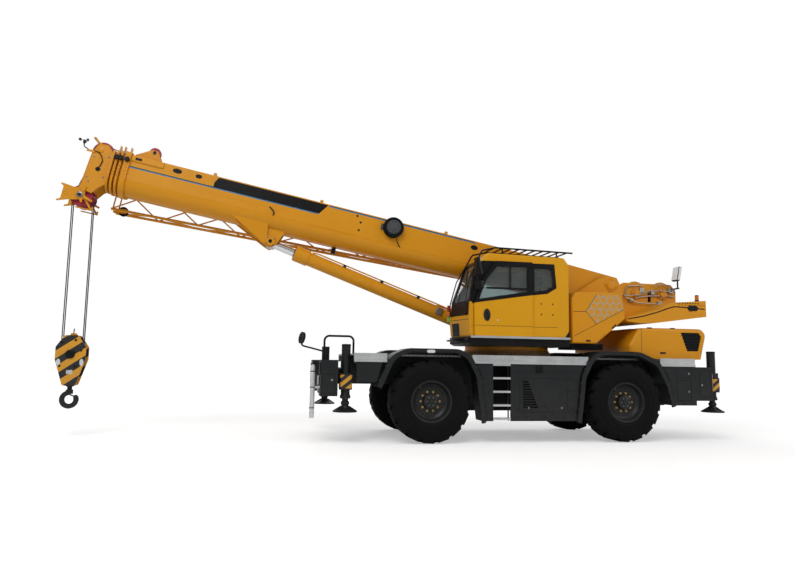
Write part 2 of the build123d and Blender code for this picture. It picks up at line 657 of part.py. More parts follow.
CAB_OUTLINE = [(1440, CAB_FLOOR_Z), (1490, 2250), (1420, 2600), (1040, 3310), (820, 3500), (-700, 3470),
               (-800, 3330), (-790, CAB_FLOOR_Z)]
DOOR_OUTLINE = [(1095, 1945), (1105, 2545), (935, 3010), (690, 3345), (-35, 3345), (-35, 1945)]
DOOR_WINDOW = [(1040, 2600), (890, 3000), (680, 3285), (30, 3290), (30, 2760)]
QUARTER_WINDOW = [(-75, 2760), (-75, 3290), (-465, 3285), (-500, 2900), (-340, 2800)]


def grown(points, margin):
    """Outline moved out, or in with a negative margin."""
    return offset(Polygon(*points, align=None), margin)


def side_cut(points, margin, y0, y1):
    return extrude(side_plane(y1) * grown(points, margin), y1 - y0, dir=(0, -1, 0))


WINDSCREEN_CUT = [(1330, 2600), (1560, 2600), (1300, 3120), (1130, 3310), (940, 3310)]
WINDSCREEN = [(1390, 2600), (1378, 2600), (1006, 3310), (1018, 3310)]
SIDE_WINDOW = [(1000, 2600), (850, 3050), (650, 3280), (-500, 3280), (-500, 2600)]


def cab_shell():
    shell = side_prism(CAB_OUTLINE, CAB_IN, CAB_OUT, 60)
    rims = shell.faces().sort_by(Axis.Y)
    shell = fillet(rims[0].edges() + rims[-1].edges(), CAB_ROUND)
    shell -= side_cut(CAB_OUTLINE, -CAB_WALL, CAB_IN + CAB_WALL, CAB_OUT - CAB_WALL)
    shell -= side_cut(DOOR_OUTLINE, -60, CAB_OUT - CAB_WALL - 1, CAB_OUT + 1)
    shell -= side_cut(QUARTER_WINDOW, 0, CAB_OUT - CAB_WALL - 1, CAB_OUT + 1)
    shell -= side_prism(WINDSCREEN_CUT, CAB_IN + 90, CAB_OUT - 90)
    shell -= side_prism(SIDE_WINDOW, CAB_IN - 1, CAB_IN + CAB_WALL + 1)
    shell -= block(-830, -730, CAB_IN + 130, CAB_OUT - 130, 2600, 3250)
    return shell


def cab_glass():
    """Quarter, right-hand, rear and front panes."""
    pane = side_cut(QUARTER_WINDOW, 0, CAB_OUT - 40, CAB_OUT - 28)
    pane += side_prism(SIDE_WINDOW, CAB_IN + 20, CAB_IN + 32)
    pane += side_prism(WINDSCREEN, CAB_IN + 90, CAB_OUT - 90)
    pane += block(-780, -768, CAB_IN + 130, CAB_OUT - 130, 2600, 3250)
    return pane


def cab_base():
    """Black underframe of the cab with the door's rail and the step at its nose."""
    outline = [(1440, CAB_BASE_Z + 40), (1440, CAB_FLOOR_Z), (-790, CAB_FLOOR_Z), (-790, CAB_BASE_Z),
               (1300, CAB_BASE_Z)]
    base = side_prism(outline, CHEEK_IN + CHEEK_T, CAB_OUT)
    base -= Pos(0, 0, TURNTABLE_Z - 100) * Cylinder(RING_R + 20, 200)
    step = side_prism([(1440, 1830), (1440, 1915), (1530, 1900), (1610, 1860), (1610, 1835)], 700, CAB_OUT - 20)
    cooler = block(-1640, -960, CHEEK_IN + CHEEK_T, 960, COOLER_Z, 1850)
    for i in range(6):
        z = COOLER_Z + 12 + i * 17
        cooler -= block(-1600, -1000, 940, 961, z, z + 8)
    return base + step + cooler


def cab_door():
    slab = side_prism(DOOR_OUTLINE, CAB_OUT + RUN_GAP, CAB_OUT + RUN_GAP + DOOR_T, 30)
    slab -= side_prism(DOOR_WINDOW, CAB_OUT, CAB_OUT + RUN_GAP + DOOR_T + 1, 20)
    return slab


def door_rail():
    """Rail under the door, on the underframe."""
    return block(-780, 1400, CAB_OUT, CAB_OUT + RUN_GAP + DOOR_T, 1905, 1945 - SEAT_GAP)


def door_glass():
    return side_prism(DOOR_WINDOW, CAB_OUT + RUN_GAP + 12, CAB_OUT + RUN_GAP + 24, 20)


def cab_interior():
    """Seat with arm consoles and head rest, steering column with its wheel, and the display."""
    floor = CAB_FLOOR_Z + CAB_WALL
    seat = block(-120, 60, 740, 980, floor, 2240)
    seat += fillet(block(-270, 270, 620, 1100, 2240, 2380).edges().filter_by(Axis.Y), 45)
    seat += side_prism([(-330, 2330), (-190, 2330), (-300, 2960), (-400, 2960)], 640, 1080, 40)
    seat += side_prism([(-390, 2950), (-310, 2950), (-330, 3130), (-400, 3130)], 750, 970, 25)
    for y in (575, 1075):
        seat += block(-150, 250, y, y + 70, 2375, 2560)
    column = side_prism([(900, floor), (1060, floor), (850, 2560), (800, 2560)], 800, 920)
    wheel = Torus(185, 17) + Box(360, 45, 20) + Cylinder(55, 34)
    wheel = Plane(origin=(800, 860, 2590), z_dir=(-0.45, 0, 0.9)) * wheel
    display = block(985, 1020, 560, 740, 2420, 2700)
    display += block(1000, 1180, 600, 700, floor, 2470)
    return seat + column + wheel + display


def cab_guards():
    """Slatted roof guard, the bars before the windscreen, the door-side mirrors and the front hand rail."""
    bars = []
    for y in ROOF_RAIL_Y:
        bars.append(pipe([(-930, y, 3590), (640, y, 3625), (900, y, 3560), (1330, y, 3000), (1560, y, 2560),
                          (1545, y, 2330)], GUARD_R, 60))
        bars.append(rod((1545, y, 2340), (CAB_NOSE_X, y, 2340), GUARD_R - 2))
        for x, z in ((-600, 3472), (500, 3493)):
            bars.append(rod((x, y, z + 1), (x, y, 3610), GUARD_R - 2))
    for i in range(GUARD_SLATS):
        x = -860 + i * 165
        bars.append(block(x, x + 45, ROOF_RAIL_Y[0], ROOF_RAIL_Y[1], 3592 + i * 3.4, 3604 + i * 3.4))
    guard = bars[0]
    guard = guard.fuse(*bars[1:])
    return guard + mirror_set()


def mirror_set():
    """Two mirror heads on an arm from the left guard bar."""
    y = ROOF_RAIL_Y[1]
    arm = rod((1288, y, 3055), (1120, MIRROR_Y, 3055), 13)
    arm += rod((1120, MIRROR_Y, 3330), (1050, MIRROR_Y, 2800), 12)
    upper = Pos(1085, MIRROR_Y + 30, 3210) * Rot(0, 12, 25) * Box(70, 190, 340)
    lower = Pos(1045, MIRROR_Y + 30, 2865) * Rot(0, 12, 25) * Box(70, 180, 150)
    return arm + fillet(upper.edges().filter_by(lambda e: e.length < 345), 18) + fillet(lower.edges(), 18)


def upper_lamps():
    """Beacon and flood lamp over the counterweight, and the signal lamp on the cab's inner side."""
    beacon = rod((BEACON[0], BEACON[1], WEIGHT_TOP), (BEACON[0], BEACON[1], WEIGHT_TOP + 45), 44)
    beacon += rod((BEACON[0], BEACON[1], WEIGHT_TOP + 45), (BEACON[0], BEACON[1], WEIGHT_TOP + 150), 37)
    pole = block(FLOOD[0] - 25, FLOOD[0] + 25, WINCH_PLATE_Y[1], FLOOD[1] + 25, FLOOD[2] - 25, FLOOD[2])
    pole += rod((FLOOD[0], FLOOD[1], FLOOD[2]), (FLOOD[0], FLOOD[1], FLOOD[2] + 290), 16)
    head = Pos(FLOOD[0] + 15, FLOOD[1], FLOOD[2] + 290) * Rot(0, -12, 0) * Box(70, 210, 300)
    flood = pole + fillet(head.edges(), 15)
    tower_y = CAB_IN - SIGNAL_R - SEAT_GAP
    tower = rod((1340, tower_y, SIGNAL_Z), (1340, tower_y, SIGNAL_Z + 330), SIGNAL_R)
    return beacon + flood + tower


COVER_OUTLINE = [(-890, 1850), (-1390, 1850), (-2010, 2345), (-1975, 2700), (-1870, 2850), (-980, 2835),
                 (-890, 2700)]


def side_covers():
    cover = side_prism(COVER_OUTLINE, CHEEK_IN + CHEEK_T, COVER_OUT, 25)
    rim = cover.faces().sort_by(Axis.Y)[-1]
    cover = chamfer(rim.edges(), COVER_BEVEL)
    for x, z in ((-1520, 1990), (-1760, 2180)):
        cover -= Pos(x, COVER_OUT, z) * Rot(0, 38, 0) * Box(110, 24, 34)
    return both_sides(cover)


# Boom

def boom_face(step, grow=0):
    """Cross-section: flat back and upper sides, round belly."""
    half = (BOOM_W - step * SECTION_STEP) / 2 + grow
    top = BOOM_TOP - step * SECTION_STEP_H / 2 + grow
    bottom = BOOM_TOP - BOOM_H + step * SECTION_STEP_H / 2 - grow
    face = Polygon((-half, bottom), (half, bottom), (half, top), (-half, top), align=None)
    low = face.vertices().group_by(Axis.Y)[0]
    face = fillet(low, half * 0.86)
    high = face.vertices().group_by(Axis.Y)[-1]
    return fillet(high, 25)


def boom_tube(step, start, end):
    """Hollow boom section from start to end along the boom."""
    place = Plane(origin=(start, 0, 0), x_dir=(0, 1, 0), z_dir=(1, 0, 0))
    face = boom_face(step) - boom_face(step, -BOOM_WALL)
    return extrude(place * face, end - start)


def boom_collar(step, start, end, grow):
    place = Plane(origin=(start, 0, 0), x_dir=(0, 1, 0), z_dir=(1, 0, 0))
    face = boom_face(0, grow) - boom_face(step, -BOOM_WALL)
    return extrude(place * face, end - start)


def belly_pad(step, start, end):
    """Wear pad on the floor of a section's mouth, under the next section."""
    gap_bottom = BOOM_TOP - BOOM_H + step * SECTION_STEP_H / 2 + BOOM_WALL
    next_bottom = BOOM_TOP - BOOM_H + (step + 1) * SECTION_STEP_H / 2
    half = (BOOM_W - (step + 1) * SECTION_STEP) / 2 * 0.10
    return block(start, end, -half, half, gap_bottom - 2, next_bottom - SEAT_GAP)


def lift_lug():
    """Left pin plate of the lift cylinder's bracket, under the belly."""
    u, v = LIFT_PIN
    bottom = BOOM_TOP - BOOM_H
    lug = side_prism([(u - 260, bottom + 120), (u - 110, v - 60), (u, v - 120), (u + 110, v - 80),
                      (u + 1150, bottom + 220), (u + 900, bottom + 220)], 145, LUG_OUT)
    lug -= cross_rod(u, v, LIFT_PIN_R, 0, 300)
    return lug + cross_rod(u, v, LIFT_PIN_R, 160, LUG_OUT + 20)


def lift_wing():
    """Left wing of the bracket: a plate that leans from the pin plate out to the boom's side."""
    u, v = LIFT_PIN
    side = BOOM_W / 2 + 2
    drop = WING_TOP - (v - 60)
    lean = Vector(0, LUG_OUT + WING_T / 2 - side, -drop)
    place = Plane(origin=(0, side, WING_TOP), x_dir=(1, 0, 0), z_dir=Vector(1, 0, 0).cross(lean))
    length = lean.length
    wing = Polygon((WING_FRONT, 0), (u + 140, length), (u + 60, length), (WING_REAR, 0), align=None)
    return extrude(place * wing, WING_T, dir=(0, -1, 0))


def lift_flange():
    """Front plate of the bracket, across the boom from wing to wing."""
    u, v = LIFT_PIN
    outline = [(WING_FRONT, WING_TOP), (WING_FRONT + WING_T, WING_TOP), (u + 165, v - 70), (u + 135, v - 70)]
    plate = side_prism(outline, -BOOM_W / 2, BOOM_W / 2)
    half = BOOM_W / 2
    place = Plane(origin=(0, 0, WING_TOP), x_dir=(0, 1, 0), z_dir=(1, 0, 0))
    drop = v - 71 - WING_TOP
    taper = Polygon((-half, 0), (half, 0), (LUG_OUT, drop), (-LUG_OUT, drop), align=None)
    return plate & extrude(place * taper, 2 * BASE_END)


def boom_base():
    tube = boom_tube(0, BASE_START, BASE_END)
    tube += boom_collar(0, BASE_END - 100, BASE_END, 35)
    tube += belly_pad(0, BASE_END - 300, BASE_END - 20)
    cheek = side_prism([(-170, -150), (-170, 130), (-60, 215), (BASE_START + 350, BOOM_TOP),
                        (BASE_START + 350, -460), (BASE_START, -470)], BOOM_W / 2 - 40, BOOM_W / 2)
    cheek -= cross_rod(0, 0, FOOT_PIN_R + SEAT_GAP, 0, BOOM_W)
    foot = both_sides(cheek)
    inside = boom_face(0, -BOOM_WALL)
    place = Plane(origin=(BASE_START - 1000, 0, 0), x_dir=(0, 1, 0), z_dir=(1, 0, 0))
    foot -= extrude(place * inside, 3000) & block(BASE_START, 3000, -500, 500, -800, 500)
    tube += foot
    tube += both_sides(lift_lug()) + both_sides(lift_wing()) + lift_flange()
    tube -= extrude(Plane(origin=(BASE_START + 30, 0, 0), x_dir=(0, 1, 0), z_dir=(1, 0, 0)) * inside,
                    BASE_END - BASE_START - 400)
    return BOOM * tube


def boom_fittings():
    """Cable reel on the boom's side, the rope guide and stays on its back, and the hanger under its belly."""
    side = BOOM_W / 2
    profile = [(20, 0), (20, REEL_R), (32, REEL_R), (36, 130), (92, 130), (96, REEL_R), (108, REEL_R), (108, 0)]
    reel = turned(profile, REEL[0], side, REEL[1])
    reel += cross_rod(REEL[0], REEL[1], 55, side, side + 130)
    pieces = reel
    for along in (1500, 3600, 6200, 8300):
        pieces += block(along - 40, along + 40, -60, 60, BOOM_TOP, BOOM_TOP + 55)
        pieces += rod((along, -90, BOOM_TOP + 70), (along, 90, BOOM_TOP + 70), 28)
    cheek = [(-200, 0), (-60, 230), (50, 240), (300, 80), (300, 0)]
    cheek = side_prism([(GUIDE_ALONG + u, BOOM_TOP + v) for u, v in cheek], 60, 72)
    belly = BOOM_TOP - BOOM_H
    pieces += block(HANGER - 40, HANGER + 40, -35, 35, belly - 130, belly)
    pieces += both_sides(cheek)
    pieces += cross_rod(GUIDE_ALONG, BOOM_TOP + 195, 30, -90, 90)
    pieces += cross_rod(GUIDE_ALONG, BOOM_TOP + 195, 110, -30, 30)
    return BOOM * pieces


def boom_section(step):
    """One of the two middle sections with its front collar and pads."""
    start = BASE_START + 200 + 120 * step
    end = BASE_END + COLLAR_PITCH * step
    tube = boom_tube(step, start, end)
    tube += boom_collar(step, end - 40, end, 35 - 8 * step)
    tube += belly_pad(step, end - 300, end - 20)
    tube += top_pad(step, start)
    return BOOM * tube


def top_pad(step, start):
    """Wear pad on a section's back end, under the roof of the section around it."""
    top = BOOM_TOP - step * SECTION_STEP_H / 2
    roof = BOOM_TOP - (step - 1) * SECTION_STEP_H / 2 - BOOM_WALL
    return block(start, start + 250, -120, 120, top - 2, roof - SEAT_GAP)


def boom_head():
    """Innermost section with the head that carries the sheaves and the jib lugs."""
    start = BASE_START + 200 + 120 * 3
    end = BASE_END + COLLAR_PITCH * 2 + 40
    tube = boom_tube(3, start, end + 10)
    tube += top_pad(3, start)
    back = boom_collar(3, end, end + 40, 0)
    plate = [(20, -400), (20, 150), (150, 310), (320, 300), (400, 110), (445, -590), (230, -640), (150, -520)]
    plate = side_prism([(end + u, v) for u, v in plate], 215, 245)
    hub = cross_rod(HEAD_SHEAVE[0], HEAD_SHEAVE[1], 85, 215, 260)
    arm = [(-80, -74), (-70, 156), (40, 156), (100, 116), (360, 146), (360, 116), (310, 91), (310, -144), (370, -174),
           (370, -199), (190, -134)]
    arm = side_prism([(HEAD_SHEAVE[0] + u, HEAD_SHEAVE[1] + v) for u, v in arm], 215, 245)
    arm -= cross_rod(JIB_LUG[0], JIB_LUG[1], JIB_LUG_R, 200, 260)
    axle_pin = cross_rod(HEAD_SHEAVE[0], HEAD_SHEAVE[1], 45, -260, 260)
    top_pin = cross_rod(TOP_SHEAVE[0], TOP_SHEAVE[1], 40, -245, 245)
    return BOOM * (tube + back + both_sides(plate + hub + arm) + axle_pin + top_pin)


def sheave(x, z, y, pin_r):
    profile = [(-26, pin_r), (-26, SHEAVE_R), (-15, SHEAVE_R), (-12, GROOVE_R), (12, GROOVE_R), (15, SHEAVE_R),
               (26, SHEAVE_R), (26, pin_r)]
    return turned(profile, x, y, z)


def head_sheaves():
    wheels = None
    for y in HEAD_SHEAVE_Y:
        wheel = sheave(HEAD_SHEAVE[0], HEAD_SHEAVE[1], y, 45)
        wheels = wheel if wheels is None else wheels + wheel
    for y in (-60, 60):
        wheels += sheave(TOP_SHEAVE[0], TOP_SHEAVE[1], y, 40)
    return BOOM * wheels


def jib_chord(outer, lower, share):
    """Point on one of the jib's four chords, share 0 at its foot and 1 at its tip."""
    along = JIB_START + (JIB_END - JIB_START) * share
    across = -430 - outer * (420 - 150 * share)
    out = -160 + 70 * share - lower * (560 - 270 * share)
    return along, across, out


def jib():
    """Stowed lattice extension along the right of the boom, on two brackets."""
    members = []
    corners = [(0, 0), (1, 0), (1, 1), (0, 1)]
    for corner in corners:
        members.append(rod(jib_chord(*corner, 0), jib_chord(*corner, 1), JIB_CHORD_R))
    for near, far in zip(corners, corners[1:] + corners[:1]):
        for end in (0.004, 0.996):
            members.append(rod(jib_chord(*near, end), jib_chord(*far, end), JIB_BRACE_R))
        for bay in range(JIB_BAYS):
            first, second = (near, far) if bay % 2 == 0 else (far, near)
            members.append(rod(jib_chord(*first, bay / JIB_BAYS), jib_chord(*second, (bay + 1) / JIB_BAYS),
                               JIB_BRACE_R))
    for share in (0.1, 0.8):
        along, across, out = jib_chord(0, 0, share)
        members.append(rod((along, -BOOM_W / 2, out), (along, across, out), 30))
    lattice = members[0]
    lattice = lattice.fuse(*members[1:])
    return BOOM * lattice


# Lift cylinder

LIFT_PIN_XZ = boom_point(*LIFT_PIN)
LIFT_LENGTH = math.hypot(LIFT_PIN_XZ[0] - LIFT_FOOT[0], LIFT_PIN_XZ[1] - LIFT_FOOT[2])
LIFT_ANGLE = math.degrees(math.atan2(LIFT_PIN_XZ[1] - LIFT_FOOT[2], LIFT_PIN_XZ[0] - LIFT_FOOT[0]))
LIFT = Pos(*LIFT_FOOT) * Rot(0, -LIFT_ANGLE, 0)
BARREL_END = LIFT_LENGTH - 520
BORE_START = 240
ROD_START = BORE_START + 200


def lift_barrel():
    """Cylinder barrel with its foot eye and gland, along X from the foot pin."""
    barrel = rod((0, 0, 0), (BARREL_END, 0, 0), BARREL_R)
    barrel += rod((BARREL_END - 280, 0, 0), (BARREL_END, 0, 0), BARREL_R + 18)
    barrel += cross_rod(0, 0, 150, -250, 250)
    barrel -= rod((BORE_START, 0, 0), (BARREL_END + 1, 0, 0), LIFT_ROD_R + RUN_GAP)
    gland = rod((BARREL_END - 120, 0, 0), (BARREL_END, 0, 0), BARREL_R)
    gland -= rod((BARREL_END - 121, 0, 0), (BARREL_END + 1, 0, 0), LIFT_ROD_R + SEAT_GAP)
    barrel += gland
    barrel -= cross_rod(0, 0, LIFT_PIN_R + SEAT_GAP, -300, 300)
    return LIFT * barrel


def lift_rod():
    piece = rod((ROD_START, 0, 0), (LIFT_LENGTH - 60, 0, 0), LIFT_ROD_R)
    piece += cross_rod(LIFT_LENGTH, 0, 110, -138, 138)
    return LIFT * piece


# Hoist

HEAD_X, HEAD_Z = boom_point(*HEAD_SHEAVE)


def hoist_ropes():
    ropes = None
    for x in (HEAD_X - ROPE_LINE, HEAD_X + ROPE_LINE):
        for y in (-50, 50):
            rope = rod((x, y, BLOCK_SHEAVE_Z), (x, y, HEAD_Z), ROPE_R)
            ropes = rope if ropes is None else ropes + rope
    return ropes


def hook_block():
    x = HEAD_X
    plate = side_prism([(x - 110, 1830), (x + 110, 1830), (x + 255, 1620), (x + 255, 1400), (x + 110, 930),
                        (x - 110, 930), (x - 255, 1400), (x - 255, 1620)], 85, 110, 40)
    piece = both_sides(plate) + cross_rod(x, BLOCK_SHEAVE_Z, 45, -130, 130)
    for y in (-50, 50):
        piece += sheave(x, BLOCK_SHEAVE_Z, y, 0)
    piece += block(x - 90, x + 90, -85, 85, 930, 1080)
    piece -= rod((x, 0, 900), (x, 0, 1100), SWIVEL_R + SEAT_GAP)
    return piece


def hook():
    """Swivel shank, open hook and its safety latch."""
    x = HEAD_X
    shank = rod((x, 0, HOOK_Z + HOOK_R), (x, 0, 1095), SWIVEL_R)
    shank += rod((x, 0, 1081), (x, 0, 1110), 65)
    shank += rod((x, 0, HOOK_Z + HOOK_R - 20), (x, 0, HOOK_Z + HOOK_R + 55), SWIVEL_R + 20)
    across = Plane(origin=(x, 0, HOOK_Z), x_dir=(0, 1, 0), z_dir=(1, 0, 0))
    section = across * Pos(0, HOOK_R) * RegularPolygon(HOOK_BAR_R, 8, rotation=22.5)
    bowl = revolve(section, axis=Axis((x, 0, HOOK_Z), (0, 1, 0)), revolution_arc=HOOK_ARC)
    tip = math.radians(HOOK_ARC)
    end = (x + HOOK_R * math.sin(tip), 0, HOOK_Z + HOOK_R * math.cos(tip))
    bowl += Pos(*end) * Sphere(HOOK_TIP_R)
    latch = rod((x, 0, HOOK_Z + HOOK_R - 30), end, 12)
    return shank + bowl + latch


def build_nodes():
    front = WHEELBASE / 2
    rear = -WHEELBASE / 2
    nodes = {
        "chassis_frame": chassis_frame(),
        "axles": axle(front) + axle(rear),
        "outrigger_boxes": outrigger_boxes(),
        "deck": deck(),
        "deck_trim": deck_trim(),
        "fenders": fenders(),
        "side_panels": side_panels(),
        "ladder": ladder(),
        "cabinets": cabinets(),
        "battery_hood": battery_hood(),
        "battery_pack": battery_pack(),
        "slewing_ring": slewing_ring(),
        "front_rail": front_rail(),
        "guard_post": guard_post(),
        "lamps": lamps(),
        "turntable": turntable(),
        "counterweight": counterweight(),
        "winches": winches(),
        "cab_shell": cab_shell(),
        "cab_glass": cab_glass(),
        "cab_base": cab_base(),
        "door_rail": door_rail(),
        "cab_interior": cab_interior(),
        "side_covers": side_covers(),
        "cab_guards": cab_guards(),
        "upper_lamps": upper_lamps(),
        "cab_door": cab_door(),
        "door_glass": door_glass(),
        "boom_base": boom_base(),
        "boom_fittings": boom_fittings(),
        "boom_section_2": boom_section(1),
        "boom_section_3": boom_section(2),
        "boom_head": boom_head(),
        "head_sheaves": head_sheaves(),
        "jib": jib(),
        "lift_barrel": lift_barrel(),
        "lift_rod": lift_rod(),
        "hoist_ropes": hoist_ropes(),
        "hook_block": hook_block(),
        "hook": hook(),
    }
    for x, end in ((front, "front"), (rear, "rear")):
        for side, name in ((1, "left"), (-1, "right")):
            for part, make in (("knuckle", knuckle), ("tyre", tyre), ("rim", rim)):
                piece = make(x)
                nodes[f"{part}_{end}_{name}"] = piece if side > 0 else other_side(piece)
    for x, side, name in ((FRONT_LEFT_X, 1, "front_left"), (FRONT_RIGHT_X, -1, "front_right"),
                          (REAR_LEFT_X, 1, "rear_left"), (REAR_RIGHT_X, -1, "rear_right")):
        nodes[f"outrigger_beam_{name}"] = outrigger_beam(x, side)
        nodes[f"outrigger_jack_{name}"] = outrigger_jack(x, side)
    return nodes


os.makedirs("parts", exist_ok=True)
for node, piece in build_nodes().items():
    export_step(piece, f"parts/{node}.step")
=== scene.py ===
import math

import bmesh
import bpy
from mathutils import Matrix, Vector


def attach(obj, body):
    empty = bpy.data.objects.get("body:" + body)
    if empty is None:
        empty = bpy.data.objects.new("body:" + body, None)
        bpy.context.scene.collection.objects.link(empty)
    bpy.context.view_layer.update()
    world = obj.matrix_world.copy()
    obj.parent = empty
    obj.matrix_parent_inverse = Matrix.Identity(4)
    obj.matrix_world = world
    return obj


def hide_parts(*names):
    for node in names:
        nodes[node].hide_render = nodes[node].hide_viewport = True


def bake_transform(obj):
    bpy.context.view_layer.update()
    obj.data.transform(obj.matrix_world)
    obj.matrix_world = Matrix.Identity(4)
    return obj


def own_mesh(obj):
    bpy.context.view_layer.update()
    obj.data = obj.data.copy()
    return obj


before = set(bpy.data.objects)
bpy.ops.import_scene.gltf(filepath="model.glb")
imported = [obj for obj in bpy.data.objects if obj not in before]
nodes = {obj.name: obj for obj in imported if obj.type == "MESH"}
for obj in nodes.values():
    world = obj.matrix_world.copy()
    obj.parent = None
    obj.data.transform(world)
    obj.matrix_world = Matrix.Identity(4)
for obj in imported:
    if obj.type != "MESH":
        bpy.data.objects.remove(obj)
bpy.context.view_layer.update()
scene = bpy.context.scene
scene.view_settings.view_transform = "Standard"

# Boom as in the part: foot pin, angle over the ground, half width and height of its back
FOOT_X, FOOT_Z = -2.160, 3.090
BOOM_FOOT = Vector((FOOT_X, 0.0, FOOT_Z))
BOOM_ANGLE = math.radians(11)
BOOM_HALF = 0.310
BOOM_TOP = 0.240

# Carrier as in the part: half width, axles, and height and spread of the wheels
CARRIER_HALF = 1.330
AXLE_X = 1.900
WHEEL_Z = 0.745
TRACK_HALF = 1.115

# Signs of the two sides, also with their names, the corners of a square and two axes
BOTH = (1, -1)
SIDES = ((1, "left"), (-1, "right"))
SQUARE = ((-1, -1), (1, -1), (1, 1), (-1, 1))
SIDEWAYS = (0, 1, 0)
UPWARD = (0, 0, 1)


def along_boom(u, y, v):
    """Point u along the boom, y across and v out of its back."""
    c, s = math.cos(BOOM_ANGLE), math.sin(BOOM_ANGLE)
    return Vector((BOOM_FOOT.x + u * c - v * s, y, BOOM_FOOT.z + u * s + v * c))


BOOM_ALONG = along_boom(1, 0, 0) - along_boom(0, 0, 0)
BOOM_UP = along_boom(0, 0, 1) - along_boom(0, 0, 0)


def boom_line(*spots):
    """List of points, each given as for along_boom."""
    return [along_boom(*spot) for spot in spots]


def circle(count):
    """Cosine and sine of each of count equal steps of a turn."""
    return [(math.cos(a), math.sin(a)) for a in (2 * math.pi * i / count for i in range(count))]


def oval(u, v, a, b, count=28):
    """Outline of an oval about (u, v)."""
    return [(u + a * c, v + b * s) for c, s in circle(count)]


# Camera fitted to the photo: its place, its yaw, pitch and roll, and its focal length for a picture this wide
CAMERA_SPOT = (4.7668, 12.7619, 1.4291)
CAMERA_TURN = (10.96, 6.72, 0.89)
FOCAL_PIXELS = 650
PICTURE_PIXELS = 795
SENSOR = 36


def place_camera():
    """Camera that looks along the photo's own line of sight."""
    yaw, pitch, roll = (math.radians(a) for a in CAMERA_TURN)
    level = Vector((-math.sin(yaw), -math.cos(yaw), 0))
    side = Vector((-math.cos(yaw), math.sin(yaw), 0))
    up = Vector((0, 0, 1))
    look = level * math.cos(pitch) + up * math.sin(pitch)
    rise = up * math.cos(pitch) - level * math.sin(pitch)
    right = side * math.cos(roll) + rise * math.sin(roll)
    top = rise * math.cos(roll) - side * math.sin(roll)
    data = bpy.data.cameras.new("photo_camera")
    data.sensor_width = SENSOR
    data.lens = SENSOR * FOCAL_PIXELS / PICTURE_PIXELS
    data.clip_end = 400
    camera = bpy.data.objects.new("photo_camera", data)
    scene.collection.objects.link(camera)
    turn = Matrix((right, top, -look)).transposed().to_4x4()
    camera.matrix_world = Matrix.Translation(CAMERA_SPOT) @ turn
    scene.camera = camera


# Shader groups

def group(name, inputs, outputs):
    """Empty shader group with named sockets; returns it with its two ends."""
    tree = bpy.data.node_groups.new(name, "ShaderNodeTree")
    for label, kind, value in inputs:
        socket = tree.interface.new_socket(label, in_out="INPUT", socket_type=kind)
        socket.default_value = value
    for label, kind in outputs:
        tree.interface.new_socket(label, in_out="OUTPUT", socket_type=kind)
    return tree, tree.nodes.new("NodeGroupInput"), tree.nodes.new("NodeGroupOutput")


FLOAT = "NodeSocketFloat"
COLOR = "NodeSocketColor"
SKIN = [("Color", COLOR), ("Roughness", FLOAT), ("Height", FLOAT)]


def add(tree, kind, **values):
    """Node with its properties set; names that start with i_ set input sockets."""
    node = tree.nodes.new(kind)
    for key, value in values.items():
        if key.startswith("i_"):
            node.inputs[key[2:].replace("_", " ")].default_value = value
        else:
            setattr(node, key, value)
    return node


def feed(tree, socket, value):
    """Sets an input socket to a plain value, or links it to another node's output."""
    if isinstance(value, (int, float, tuple)):
        socket.default_value = value
    else:
        tree.links.new(value, socket)


def math_node(tree, operation, a, b=None, clamp=False):
    node = add(tree, "ShaderNodeMath", operation=operation, use_clamp=clamp)
    feed(tree, node.inputs[0], a)
    if b is not None:
        feed(tree, node.inputs[1], b)
    return node.outputs[0]


def mix_color(tree, factor, a, b):
    node = add(tree, "ShaderNodeMix", data_type="RGBA")
    for i, value in ((0, factor), (6, a), (7, b)):
        feed(tree, node.inputs[i], value)
    return node.outputs[2]


def span(tree, value, lo, hi, out_lo=0.0, out_hi=1.0):
    """Maps a value from one range to another."""
    node = add(tree, "ShaderNodeMapRange")
    for i, entry in enumerate((value, lo, hi, out_lo, out_hi)):
        feed(tree, node.inputs[i], entry)
    return node.outputs[0]


def noise(tree, vector, scale, detail=3.0):
    node = add(tree, "ShaderNodeTexNoise")
    for label, value in (("Vector", vector), ("Scale", scale), ("Detail", detail), ("Roughness", 0.55)):
        feed(tree, node.inputs[label], value)
    return node.outputs["Fac"]


def object_place(tree):
    """Place in the object's own coordinates."""
    return add(tree, "ShaderNodeTexCoord").outputs["Object"]


def split(tree, vector):
    """X, Y and Z of a vector."""
    parts = add(tree, "ShaderNodeSeparateXYZ")
    tree.links.new(vector, parts.inputs[0])
    return parts.outputs


